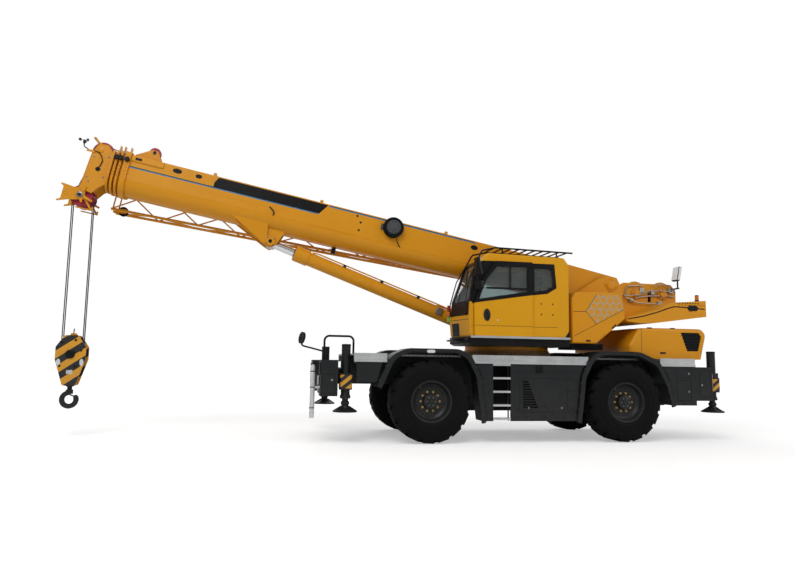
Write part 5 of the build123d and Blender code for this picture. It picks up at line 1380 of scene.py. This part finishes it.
def dress_winches():
    """Rope wound on both drums, and the pipes and valves on the sides of the winch frame."""
    body = "superstructure"
    bm = bmesh.new()
    wrap = [(-0.010, 0.165), (-0.007, 0.172), (0.0, 0.175), (0.007, 0.172), (0.010, 0.165)]
    for x in DRUMS_X:
        for i in range(24):
            put_turned(bm, wrap, (x, -0.244 + 0.0205 * i, DRUM_Z), SIDEWAYS, 36)
    piece_of(bm, "winch_wraps", wire_rope, body)
    for side, name in SIDES:
        y = side * 0.372
        far = y + side * 0.036
        routes = [[(-2.412, y, 2.91), (-2.50, y, 2.912), (-2.514, y, 2.92), (-2.518, y, 3.03),
                   (-2.55, y, 3.09), (-2.60, y, 3.105), (-2.888, y, 3.125)],
                  [(-2.45, far, 2.885), (-2.60, far, 2.90), (-2.705, far, 2.907), (-2.913, far, 2.955),
                   (-3.05, far, 3.03), (-3.241, far, 3.012), (-3.572, far, 3.019)],
                  [(-2.47, far, 2.86), (-2.671, far, 2.775), (-2.80, far, 2.745), (-3.261, far, 2.735)],
                  [(-2.72, y, 2.85), (-2.95, y, 2.905), (-3.298, y, 2.914), (-3.538, y, 2.922),
                   (-3.62, y, 2.90)],
                  [(-3.15, far, 3.12), (-3.30, far, 3.165), (-3.458, far, 3.150), (-3.60, far, 3.09),
                   (-3.64, far, 2.98)]]
        tubes("winch_pipes_" + name, routes, 0.0125, pipe_metal, body)
        blocks = ((-2.87, 3.02, 0.05), (-3.12, 2.98, 0.045), (-3.55, 3.03, 0.055), (-3.28, 2.75, 0.045),
                  (-2.62, 2.80, 0.04))
        boxes = [((x - h, y - 0.030, z - h), (x + h, y + 0.034, z + h)) for x, z, h in blocks]
        box_set("winch_valves_" + name, boxes, pipe_metal, body, 0.008)
    ring = [(x + 0.095 * c, 0.375, DRUM_Z + 0.095 * s) for x in DRUMS_X for c, s in circle(8)]
    bolts("winch_bolts", ring, SIDEWAYS, 0.010, 0.012, bare_steel, body)


# Turntable and ring

def dress_turntable():
    """Ring teeth and bolts, pin keepers, weld edges, hoses and valve blocks."""
    body = "superstructure"
    teeth = []
    for c, s in circle(112):
        out = Vector((c, s, 0))
        tang = Vector((-s, c, 0))
        base = out * 0.858 + Vector((0, 0, 1.600))
        loop = [base - tang * 0.016, base + tang * 0.016, base + tang * 0.008 + out * 0.024,
                base - tang * 0.008 + out * 0.024]
        teeth.append((loop, Vector((0, 0, 0.070))))
    prisms("ring_teeth", teeth, ring_steel, "carrier")
    heads = [(0.80 * c, 0.80 * s, 1.800) for c, s in circle(48) if abs(s * 0.80) > 0.43]
    bolts("ring_bolts", heads, UPWARD, 0.014, 0.018, bare_steel, body)
    corners = [(math.cos(a), math.sin(a)) for a in (math.radians(d) for d in (12, 102, 192, 282))]
    for side, name in SIDES:
        y = side * 0.400
        square = [(FOOT_X + 0.155 * c, FOOT_Z + 0.155 * s) for c, s in corners]
        side_plates("foot_keeper_" + name, [square], 0.400, 0.016, boom_paint, body, (side,), 0.004)
        heads = [(FOOT_X + 0.118 * c, y + side * 0.016, FOOT_Z + 0.118 * s) for c, s in corners]
        bolts("foot_bolts_" + name, heads, (0, side, 0), 0.013, 0.014, boom_paint, body)
        turned_set("foot_cap_" + name, [(0, 0.088), (0.004, 0.088), (0.008, 0.070)],
                   [(FOOT_X, side * 0.429, FOOT_Z)], (0, side, 0), boom_paint, body, 40)
        turned_set("lift_cap_" + name, [(-0.004, 0.095), (0.012, 0.095), (0.016, 0.080)],
                   [(LIFT_X, y, LIFT_Z)], (0, side, 0), boom_paint, body, 40)
        ring = [(LIFT_X + 0.082 * math.cos(a), y + side * 0.014, LIFT_Z + 0.082 * math.sin(a))
                for a in (math.pi / 3 * i for i in range(6))]
        bolts("lift_bolts_" + name, ring, (0, side, 0), 0.009, 0.010, bare_steel, body)
        welds = [[(0.895, y, 1.965), (0.618, y, 2.262), (0.30, y, 2.302), (-0.90, y, 2.602),
                  (-1.88, y, 3.232), (-2.08, y, 3.302)]]
        tubes("cheek_edge_" + name, welds, 0.006, boom_paint, body, 2)
    hoses = []
    for i in range(4):
        y = -0.425 - 0.030 * i
        hoses.append([(0.70, y, 1.86), (0.50, y, 2.02), (0.10, y, 2.16), (-0.60, y, 2.30),
                      (-1.00, y, 2.38), (-1.30, y, 2.40)])
    tubes("deck_hoses", hoses, 0.013, rubber, body)
    blocks = [((0.66, -0.54, 1.80), (0.86, -0.402, 1.90)), ((-0.66, -0.540, 2.255), (-0.54, -0.401, 2.345))]
    box_set("valve_block", blocks, bare_steel, body, 0.008)
    foot_plates = [((0.55, -0.36, 1.845), (0.88, 0.36, 1.852))]
    box_set("turntable_mat", foot_plates, deck_plate, body, 0.002)


# Lift cylinder

LIFT_X, LIFT_Z = 0.450, 2.060
LIFT_FOOT = Vector((LIFT_X, 0.0, LIFT_Z))
LIFT_ANGLE = math.radians(20.623)
LIFT_LENGTH = 4.6905


def along_lift(u, y, v):
    """Point u along the cylinder, y across and v out of its upper side."""
    c, s = math.cos(LIFT_ANGLE), math.sin(LIFT_ANGLE)
    return Vector((LIFT_FOOT.x + u * c - v * s, y, LIFT_FOOT.z + u * s + v * c))


LIFT_UP = along_lift(0, 0, 1) - along_lift(0, 0, 0)


def lift_line(*spots):
    """List of points, each given as for along_lift."""
    return [along_lift(*spot) for spot in spots]


def dress_lift():
    """Gland, pipes, clamps and a junction box on the lift cylinder's barrel."""
    along = along_lift(1, 0, 0) - along_lift(0, 0, 0)
    end = LIFT_LENGTH - 0.520
    turned_set("gland_ring", [(-0.012, 0.148), (0.006, 0.148), (0.010, 0.120), (0.010, 0.084)],
               [along_lift(end, 0, 0)], along, boom_paint, "lift_barrel", 48)
    ring = [along_lift(end + 0.008, 0.132 * c, 0.132 * s) for c, s in circle(12)]
    bolts("gland_bolts", ring, along, 0.009, 0.012, bare_steel, "lift_barrel")
    pipes = [lift_line((0.30, 0.075, 0.118), (0.42, 0.080, 0.150), (0.70, 0.080, 0.152),
                       (3.60, 0.080, 0.152), (3.78, 0.080, 0.150), (3.86, 0.075, 0.128)),
             lift_line((0.34, -0.030, 0.135), (0.45, -0.030, 0.160), (0.80, -0.030, 0.160),
                       (1.10, -0.030, 0.158), (1.16, -0.030, 0.132))]
    tubes("lift_pipes", pipes, 0.014, boom_paint, "lift_barrel")
    clamps = []
    for u in (0.75, 1.55, 2.35, 3.15):
        loop = lift_line((u, 0.055, 0.125), (u + 0.06, 0.055, 0.125), (u + 0.06, 0.105, 0.110),
                         (u, 0.105, 0.110))
        clamps.append((loop, LIFT_UP * 0.045))
    prisms("pipe_clamps", clamps, dark_plastic, "lift_barrel", 0.004)
    loop = lift_line((1.02, 0.132, -0.050), (1.16, 0.132, -0.050), (1.16, 0.172, -0.050),
                     (1.02, 0.172, -0.050))
    prisms("junction_box", [(loop, LIFT_UP * 0.135)], bare_steel, "lift_barrel", 0.008)
    turned_set("wiper_ring", [(0, 0.083), (0.012, 0.083), (0.018, 0.0795)],
               [along_lift(end + 0.008, 0, 0)], along, rubber, "lift_barrel", 48)


# Boom dress

def dress_boom():
    """Stripes, ports filled with painted shade, saddles, rollers and cables on the boom's base section."""
    body = "boom_base"
    y = BOOM_HALF - 0.0005
    stripes = [[(2.98, 0.186), (3.02, 0.202), (6.04, 0.202), (6.05, 0.186)],
               [(6.220, -0.012), (6.235, 0.006), (9.79, 0.006), (9.79, -0.012)]]
    boom_plates("boom_stripe", stripes, y, 0.002, blue_line, body, BOTH)
    edges = [[(3.02, 0.203), (3.05, 0.214), (6.03, 0.214), (6.04, 0.203)],
             [(8.250, 0.007), (8.250, 0.018), (9.79, 0.018), (9.79, 0.007)]]
    boom_plates("boom_stripe_edge", edges, y, 0.002, black_paint, body, BOTH)
    band = [(6.065, 0.214), (6.205, 0.008), (8.250, 0.008), (8.250, 0.100), (8.190, 0.214)]
    boom_plates("boom_band", [band], y, 0.0022, black_paint, body, BOTH)
    welds = []
    for side in BOTH:
        yy = side * (BOOM_HALF + 0.0005)
        welds.append(boom_line((0.98, yy, -0.252), (4.5, yy, -0.252), (9.79, yy, -0.252)))
    tubes("belly_welds", welds, 0.004, boom_paint, body, 2)
    dots = [along_boom(u, BOOM_HALF - 0.001, v) for u, v in ((5.467, 0.150), (5.378, 0.037), (5.383, -0.122))]
    turned_set("boom_plugs", [(0, 0.022), (0.003, 0.022), (0.004, 0.016)], dots, SIDEWAYS, black_paint,
               body, 20)
    # Black ovals on the boom's holes: painted shade for the dark inside of the boom.
    ports = [oval(8.95, 0.140, 0.085, 0.045), oval(8.55, 0.140, 0.060, 0.038),
             oval(3.02, 0.100, 0.075, 0.048)]
    boom_plates("boom_ports", ports, BOOM_HALF - 0.001, 0.004, black_paint, body)
    boom_plates("boom_doubler", [[(5.49, -0.225), (6.31, -0.205), (6.31, -0.245), (5.49, -0.245)]],
                BOOM_HALF - 0.001, 0.005, boom_paint, body, BOTH, 0.002)
    boom_boxes("edge_tunnel", [((9.20, BOOM_HALF - 0.002, 0.115), (9.79, BOOM_HALF + 0.022, 0.232))],
               boom_paint, body, 0.012)
    # Black plate in the tunnel's opening: painted shade for its dark inside.
    boom_boxes("tunnel_port_painted_shade", [((9.60, BOOM_HALF + 0.018, 0.148), (9.72, BOOM_HALF + 0.024, 0.196))],
               black_paint, body, 0.003)
    straps = []
    caps = []
    for u in (1.20, 2.60, 4.10, 5.60, 7.40, 8.90):
        straps.append(((u - 0.02, -0.255, 0.238), (u + 0.02, -0.215, 0.262)))
    for u in (1.50, 3.60, 6.20, 8.30):
        for y in (-0.094, 0.091):
            caps.append(((u - 0.032, y, 0.238), (u + 0.032, y + 0.003, 0.341)))
        caps.append(((u - 0.042, -0.062, 0.238), (u - 0.040, 0.062, 0.297)))
        caps.append(((u + 0.040, -0.062, 0.238), (u + 0.042, 0.062, 0.297)))
    boom_boxes("hose_saddles", straps, dark_plastic, body, 0.004)
    boom_boxes("roller_cheeks", caps, boom_paint, body, 0.001)
    lines = [boom_line((0.75, -0.235 + dy, 0.255), (1.2, -0.235 + dy, 0.270), (5.0, -0.235 + dy, 0.270),
                       (9.3, -0.235 + dy, 0.270), (9.6, -0.235 + dy, 0.252)) for dy in (-0.014, 0.014)]
    tubes("boom_cables", lines, 0.010, rubber, body)
    dress_collars()
    dress_bracket()
    dress_reel()


def dress_collars():
    """Bolts, rollers and upright lugs on the collars of the nested sections."""
    collars = (("boom_base", 9.80, 9.90, 0.035), ("boom_section_2", 9.94, 9.98, 0.027),
               ("boom_section_3", 10.02, 10.06, 0.019))
    for i, (body, start, end, grow) in enumerate(collars):
        half = BOOM_HALF + grow
        middle = (start + end) / 2
        for side, name in SIDES:
            heads = [along_boom(middle, side * half, -0.22 + 0.065 * k) for k in range(7)]
            bolts(f"collar_bolts_{name}_{i + 1}", heads, (0, side, 0), 0.012, 0.014, boom_paint, body)
        top = BOOM_TOP + grow
        fins = [((middle - 0.010, 0.150, top - 0.005), (middle + 0.010, 0.250, top + 0.105)),
                ((middle - 0.010, -0.250, top - 0.005), (middle + 0.010, -0.150, top + 0.105))]
        boom_boxes(f"collar_fins_{i + 1}", fins, boom_paint, body, 0.004)
        turned_set(f"collar_roller_{i + 1}", [(0, 0.042), (0.010, 0.046), (0.040, 0.046), (0.050, 0.038)],
                   [along_boom(middle, half - 0.004, 0.115)], SIDEWAYS, black_paint, body, 28)
        face = [along_boom(end, y, BOOM_TOP - 0.020) for y in (-0.24, -0.12, 0.12, 0.24)]
        bolts(f"collar_studs_{i + 1}", face, BOOM_ALONG, 0.011, 0.010, bare_steel, body)


def dress_bracket():
    """Keeper and bolts at the lift cylinder's upper pin."""
    body = "boom_base"
    u, v = 6.990, -0.725
    keeper = [(u + a * 0.085, v + b * 0.085) for a, b in SQUARE]
    for side, name in SIDES:
        boom_plates("pin_keeper_" + name, [keeper], 0.203, 0.010, boom_paint, body, (side,), 0.003)
        spots = [along_boom(u + a * 0.062, side * 0.212, v + b * 0.062) for a in BOTH for b in BOTH]
        bolts("pin_bolts_" + name, spots, (0, side, 0), 0.012, 0.014, bare_steel, body)
        turned_set("pin_end_" + name, [(0, 0.036), (0.004, 0.036), (0.005, 0.022)],
                   [along_boom(u, side * 0.212, v)], (0, side, 0), black_paint, body, 28)
    grip = [boom_line((7.145, BOOM_HALF + 0.003, -0.10), (7.10, BOOM_HALF + 0.030, -0.13),
                      (7.03, BOOM_HALF + 0.030, -0.19), (7.05, BOOM_HALF + 0.003, -0.24))]
    tubes("bracket_grip", grip, 0.011, black_paint, body)


def dress_reel():
    """Cable reel's drum windings, face rings, hub and the lead that runs down from it."""
    body = "boom_base"
    centre = along_boom(4.730, 0, 0.080)
    out = BOOM_HALF
    bm = bmesh.new()
    for k in range(4):
        put_ring_tube(bm, Vector((centre.x, out + 0.044 + 0.0135 * k, centre.z)), 0.166, 0.0095)
    piece_of(bm, "reel_windings", rubber, body)
    face = Vector((centre.x, out + 0.108, centre.z))
    bm = bmesh.new()
    for radius in (0.190, 0.170):
        put_ring(bm, face, SIDEWAYS, radius, 0.000, 0.006, 64)
    piece_of(bm, "reel_ribs", black_paint, body)
    turned_set("reel_hub", [(-0.004, 0.142), (0.030, 0.138), (0.042, 0.124), (0.044, 0.060),
                            (0.052, 0.056), (0.052, 0.018)], [face], SIDEWAYS, reel_grey, body, 48)
    turned_set("reel_port", [(-0.004, 0.040), (0.040, 0.038), (0.044, 0.024)],
               [along_boom(4.865, out + 0.030, 0.135)], SIDEWAYS, reel_grey, body, 24)
    ring = [face + Vector((c, 0, s)) * 0.105 + Vector((0, 0.042, 0)) for c, s in circle(10)]
    bolts("reel_bolts", ring, SIDEWAYS, 0.008, 0.009, dark_paint, body)
    lead = [boom_line((4.62, out + 0.05, -0.105), (4.60, out + 0.045, -0.18), (4.54, out + 0.02, -0.24),
                      (4.50, out - 0.02, -0.27))]
    tubes("reel_lead", lead, 0.009, rubber, body)
    bracket = [((4.86, out - 0.002, 0.00), (4.97, out + 0.030, 0.12))]
    boom_boxes("reel_bracket", bracket, reel_grey, body, 0.006)


# Hoist rope along the boom

HEAD_U, HEAD_V = 10.500, -0.716
TOP_U, TOP_V = 10.360, 0.195
ROPE_Y = -0.105
ROPE_NEST = 0.93
ROPE_V = 0.292
ROPE_R = 0.010


def dress_ropes():
    """The hoist rope: from the drum over the boom's back, on through the sections to the head."""
    drum = Vector((DRUMS_X[0], ROPE_Y, DRUM_Z + 0.180))
    lead = [drum + Vector((-0.06, 0, -0.004)), drum + Vector((0.02, 0, 0.002)),
            along_boom(0.30, ROPE_Y, 0.284), along_boom(0.85, ROPE_Y, ROPE_V),
            along_boom(1.05, ROPE_Y, ROPE_V)]
    route = [lead[0]]
    for a, b in zip(lead, lead[1:]):
        route += [a.lerp(b, k / 4) for k in range(1, 5)]
    piece = tubes("rope_lead", [route], ROPE_R, wire_rope, None, 3)
    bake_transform(piece)
    runs = (("boom_base", 1.05, 9.895), ("boom_section_2", 2.10, 9.975), ("boom_section_3", 2.20, 10.055))
    for step, (body, start, end) in enumerate(runs):
        line = boom_line((start, ROPE_Y, ROPE_V), (end, ROPE_Y, ROPE_V))
        tubes("rope_on_" + body, [line], ROPE_R * ROPE_NEST ** step, wire_rope, body, 2)
    u, v, r = TOP_U, TOP_V, 0.178
    over = boom_line((2.30, ROPE_Y, ROPE_V), (10.06, ROPE_Y, ROPE_V), (10.16, -0.085, 0.335))
    over += [along_boom(u + r * math.sin(a), -0.060, v + r * math.cos(a))
             for a in (math.radians(d) for d in range(-10, 101, 10))]
    over += boom_line((HEAD_U + 0.182, -0.055, -0.60), (HEAD_U + 0.178, -0.050, HEAD_V))
    tubes("rope_on_head", [over], ROPE_R * ROPE_NEST ** 3, wire_rope, "boom_head", 2)
    groove = [(-0.0315, 0.060), (-0.0315, 0.112), (-0.020, 0.112), (-0.006, 0.098), (0.006, 0.098),
              (0.020, 0.112), (0.0315, 0.112), (0.0315, 0.060)]
    turned_set("guide_sheave", groove, [along_boom(9.480, 0, BOOM_TOP + 0.195)], SIDEWAYS, crimson,
               "boom_base", 48)
    cheeks = [(9.278, BOOM_TOP - 0.002), (9.418, 0.472), (9.532, 0.482), (9.782, 0.322),
              (9.782, BOOM_TOP - 0.002)]
    solids = []
    for side in BOTH:
        for y, way in ((0.0735, side), (0.0585, -side)):
            solids.append(([along_boom(a, side * y, b) for a, b in cheeks], Vector((0, way * 0.003, 0))))
    prisms("guide_cheeks", solids, boom_paint, "boom_base")


# Boom head

HEAD_SIDE = 0.2445


def dress_head():
    """Pins, keepers and guards at the head, its rope prongs and the wind sensor on its mast."""
    body = "boom_head"
    u, v = HEAD_U, HEAD_V
    for side, name in SIDES:
        y = side * 0.260
        hub = along_boom(u, y, v)
        turned_set("head_nut_" + name, [(0, 0.058), (0.010, 0.058), (0.016, 0.048)], [hub], (0, side, 0),
                   bare_steel, body, 40)
        # Black disc in the nut's bore: painted shade for the dark hole.
        turned_set("head_bore_painted_shade_" + name, [(0.012, 0.030), (0.0175, 0.030), (0.018, 0.018)], [hub],
                   (0, side, 0), black_paint, body, 32)
        arms = []
        for angle, reach in ((112, 0.190), (198, 0.250), (245, 0.150)):
            c, s = math.cos(math.radians(angle)), math.sin(math.radians(angle))
            start, width = 0.075, 0.017
            plan = [(start, width * 1.6), (reach, width), (reach, -width), (start, -width * 1.6)]
            loop = [along_boom(u + p * c - q * s, y - side * 0.002, v + p * s + q * c) for p, q in plan]
            arms.append((loop, Vector((0, side * 0.012, 0))))
        prisms("rope_keepers_" + name, arms, boom_paint, body, 0.003)
        pin = along_boom(TOP_U, side * HEAD_SIDE, TOP_V)
        turned_set("top_pin_" + name, [(0, 0.052), (0.010, 0.052), (0.014, 0.036)], [pin], (0, side, 0),
                   boom_paint, body, 32)
        # Black oval on the head's hole: painted shade for its dark inside.
        ports = [oval(10.327, -0.172, 0.045, 0.040)]
        boom_plates("head_port_" + name, ports, HEAD_SIDE, 0.004, black_paint, body, (side,))
        places = ((10.429, -0.430), (10.20, 0.10), (10.20, -0.30), (10.45, 0.04), (10.48, -0.36))
        studs = [along_boom(a, side * 0.245, b) for a, b in places]
        bolts("head_studs_" + name, studs, (0, side, 0), 0.013, 0.014, bare_steel, body)
        lug = [along_boom(10.745, side * 0.2455, -0.735)]
        turned_set("jib_bush_" + name, [(0, 0.050), (0.004, 0.050), (0.005, 0.031), (-0.006, 0.031)], lug,
                   (0, side, 0), boom_paint, body, 32)
        edge = [boom_line((10.122, y * 0.942, 0.150), (10.250, y * 0.942, 0.308),
                          (10.418, y * 0.942, 0.298), (10.498, y * 0.942, 0.110),
                          (10.543, y * 0.942, -0.588))]
        tubes("head_rim_" + name, edge, 0.008, boom_paint, body, 2)
    hose = [boom_line((10.557, 0.249, 0.141), (10.398, 0.262, 0.160), (10.303, 0.262, 0.060),
                      (10.275, 0.262, -0.044), (10.327, 0.249, -0.165))]
    tubes("sensor_cable", hose, 0.008, rubber, body)
    guard = []
    for side in BOTH:
        guard.append(((10.24, side * 0.152, -0.952), (10.54, side * 0.205, -0.935)))
        guard.append(((10.24, side * 0.152, -0.952), (10.26, side * 0.205, -0.880)))
    boom_boxes("rope_guard", guard, boom_paint, body, 0.003)
    strap = ((10.430, -0.700), (10.475, -0.720), (10.275, -0.946), (10.238, -0.946))
    boom_plates("guard_straps", [strap], 0.199, 0.023, boom_paint, body, BOTH, 0.003)
    arms = [boom_line((10.36, side * 0.225, 0.295), (10.44, side * 0.215, 0.330),
                      (10.53, side * 0.200, 0.395)) for side in BOTH]
    tubes("rope_prongs", arms, 0.016, boom_paint, body, 2)
    boom_boxes("prong_pins", [((10.505, -0.235, 0.380), (10.545, 0.235, 0.412))], boom_paint, body, 0.006)
    foot = along_boom(10.585, 0.255, 0.154)
    mast = [[along_boom(10.545, 0.250, 0.130), foot, along_boom(10.655, 0.262, 0.175),
             along_boom(10.668, 0.262, 0.215), along_boom(10.680, 0.262, 0.285)]]
    tubes("sensor_mast", mast, 0.010, dark_plastic, body)
    boom_boxes("sensor_bracket", [((10.455, 0.243, 0.112), (10.600, 0.264, 0.150))], boom_paint, body, 0.003)
    top = along_boom(10.682, 0.262, 0.292)
    turned_set("sensor_body", [(-0.060, 0.016), (-0.050, 0.022), (0.0, 0.022), (0.012, 0.010)], [top],
               UPWARD, dark_plastic, body, 20)
    bm = bmesh.new()
    for i in range(3):
        a = math.radians(35 + 120 * i)
        out = Vector((math.cos(a), math.sin(a), 0))
        turn = Vector((-math.sin(a), math.cos(a), 0))
        put_turned(bm, [(-0.004, 0.005), (0.064, 0.005)], top + out * 0.004, out, 8)
        put_turned(bm, [(-0.028, 0.006), (-0.022, 0.017), (-0.010, 0.026), (0.0, 0.029), (0.001, 0.026),
                        (-0.008, 0.023), (-0.018, 0.014)], top + out * 0.075, turn, 16)
    piece_of(bm, "sensor_cups", reel_grey, body)


# Jib ends

def dress_jib():
    """Sheave and forks at the front end of the stowed jib."""
    body = "boom_base"
    groove = [(-0.022, 0.030), (-0.022, 0.095), (-0.008, 0.080), (0.008, 0.080), (0.022, 0.095),
              (0.022, 0.030)]
    turned_set("jib_sheave", groove, [along_boom(9.92, -0.640, -0.690)], SIDEWAYS, black_paint, body, 36)
    cheek = ((10.10, -0.755), (10.10, -0.685), (9.98, -0.650), (9.86, -0.640), (9.86, -0.730))
    lug = ((10.10, -0.195), (10.16, -0.185), (10.16, -0.135), (10.10, -0.125))
    solids = []
    for y, half, plan in ((-0.600, 0.006, cheek), (-0.680, 0.006, cheek), (-0.430, 0.012, lug),
                          (-0.850, 0.012, lug)):
        solids.append(([along_boom(a, y - half, b) for a, b in plan], Vector((0, 2 * half, 0))))
    prisms("jib_forks", solids, boom_paint, body, 0.003)


# Hook block and the falls of rope that carry it, which shorten as it is raised

HOOK_X = 8.2837
FALL_LINE = 0.1783
HEAD_AXLE_Z = 4.3906
BLOCK_AXLE_Z = 1.490


def dress_hook():
    """Hubs, windows, socket and rope falls of the hook block."""
    body = "hook_block"
    x = HOOK_X
    for side, name in SIDES:
        y = side * 0.110
        spots = [(x + dx, y, z) for dx, z in ((-0.075, 1.745), (-0.175, 1.560), (0.170, 1.280),
                                              (-0.090, 1.270), (0.150, 1.700))]
        turned_set("block_studs_" + name, [(0, 0.020), (0.010, 0.020), (0.014, 0.014)], spots,
                   (0, side, 0), black_paint, body, 24)
        turned_set("block_hub_" + name, [(0.010, 0.078), (0.024, 0.078), (0.030, 0.060)],
                   [(x, y, BLOCK_AXLE_Z)], (0, side, 0), black_paint, body, 40)
        rings = [oval(x + dx, 1.345, 0.034, 0.062) for dx in (0.195, -0.195)]
        side_plates("block_windows_" + name, rings, 0.1095, 0.002, pale_lens, body, (side,))
        plate = [(x + 0.050, 1.205), (x - 0.055, 1.205), (x - 0.055, 1.135), (x + 0.050, 1.135)]
        side_plates("blank_plate_" + name, [plate], 0.1095, 0.003, bright_trim, body, (side,), 0.001)
    socket = [(x + 0.048, 1.795), (x - 0.052, 1.795), (x - 0.070, 1.838), (x - 0.035, 1.874),
              (x + 0.030, 1.872), (x + 0.050, 1.832)]
    side_plates("wedge_socket", [socket], -0.032, 0.064, boom_paint, body, bevel=0.008)
    tubes("rope_tail", [[(x, 0, 1.850), (x - 0.003, 0, 1.90), (x - 0.008, 0, 1.955)]], 0.007, wire_rope, body)
    turned_set("rope_clip", [(-0.010, 0.006), (-0.010, 0.0125), (0.010, 0.0125), (0.010, 0.006)],
               [(x - 0.003, 0, 1.895), (x - 0.006, 0, 1.928)], UPWARD, bare_steel, body, 16)
    falls = [[(x + side * FALL_LINE, lane, z) for z in (BLOCK_AXLE_Z, HEAD_AXLE_Z)]
             for side in BOTH for lane in (0.050, -0.050)]
    ropes = tubes("rope_falls", falls, ROPE_R, wire_rope, "hook_hang", 2)
    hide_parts("hoist_ropes")
    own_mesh(ropes)
    bolts("swivel_nut", [(x, 0, 0.930)], (0, 0, -1), 0.070, 0.020, dark_paint, body)


for corner in CORNERS:
    dress_wheel(corner)
dress_cab()
dress_interior()
dress_cab_front()
taper_cab()
dress_panels()
dress_fenders()
dress_jacks()
dress_rear()
dress_winches()
dress_turntable()
dress_lift()
dress_boom()
dress_ropes()
dress_head()
dress_jib()
dress_hook()
dress_lamps()
dress_post()
dress_hood()
dress_ladder()
dress_axles()
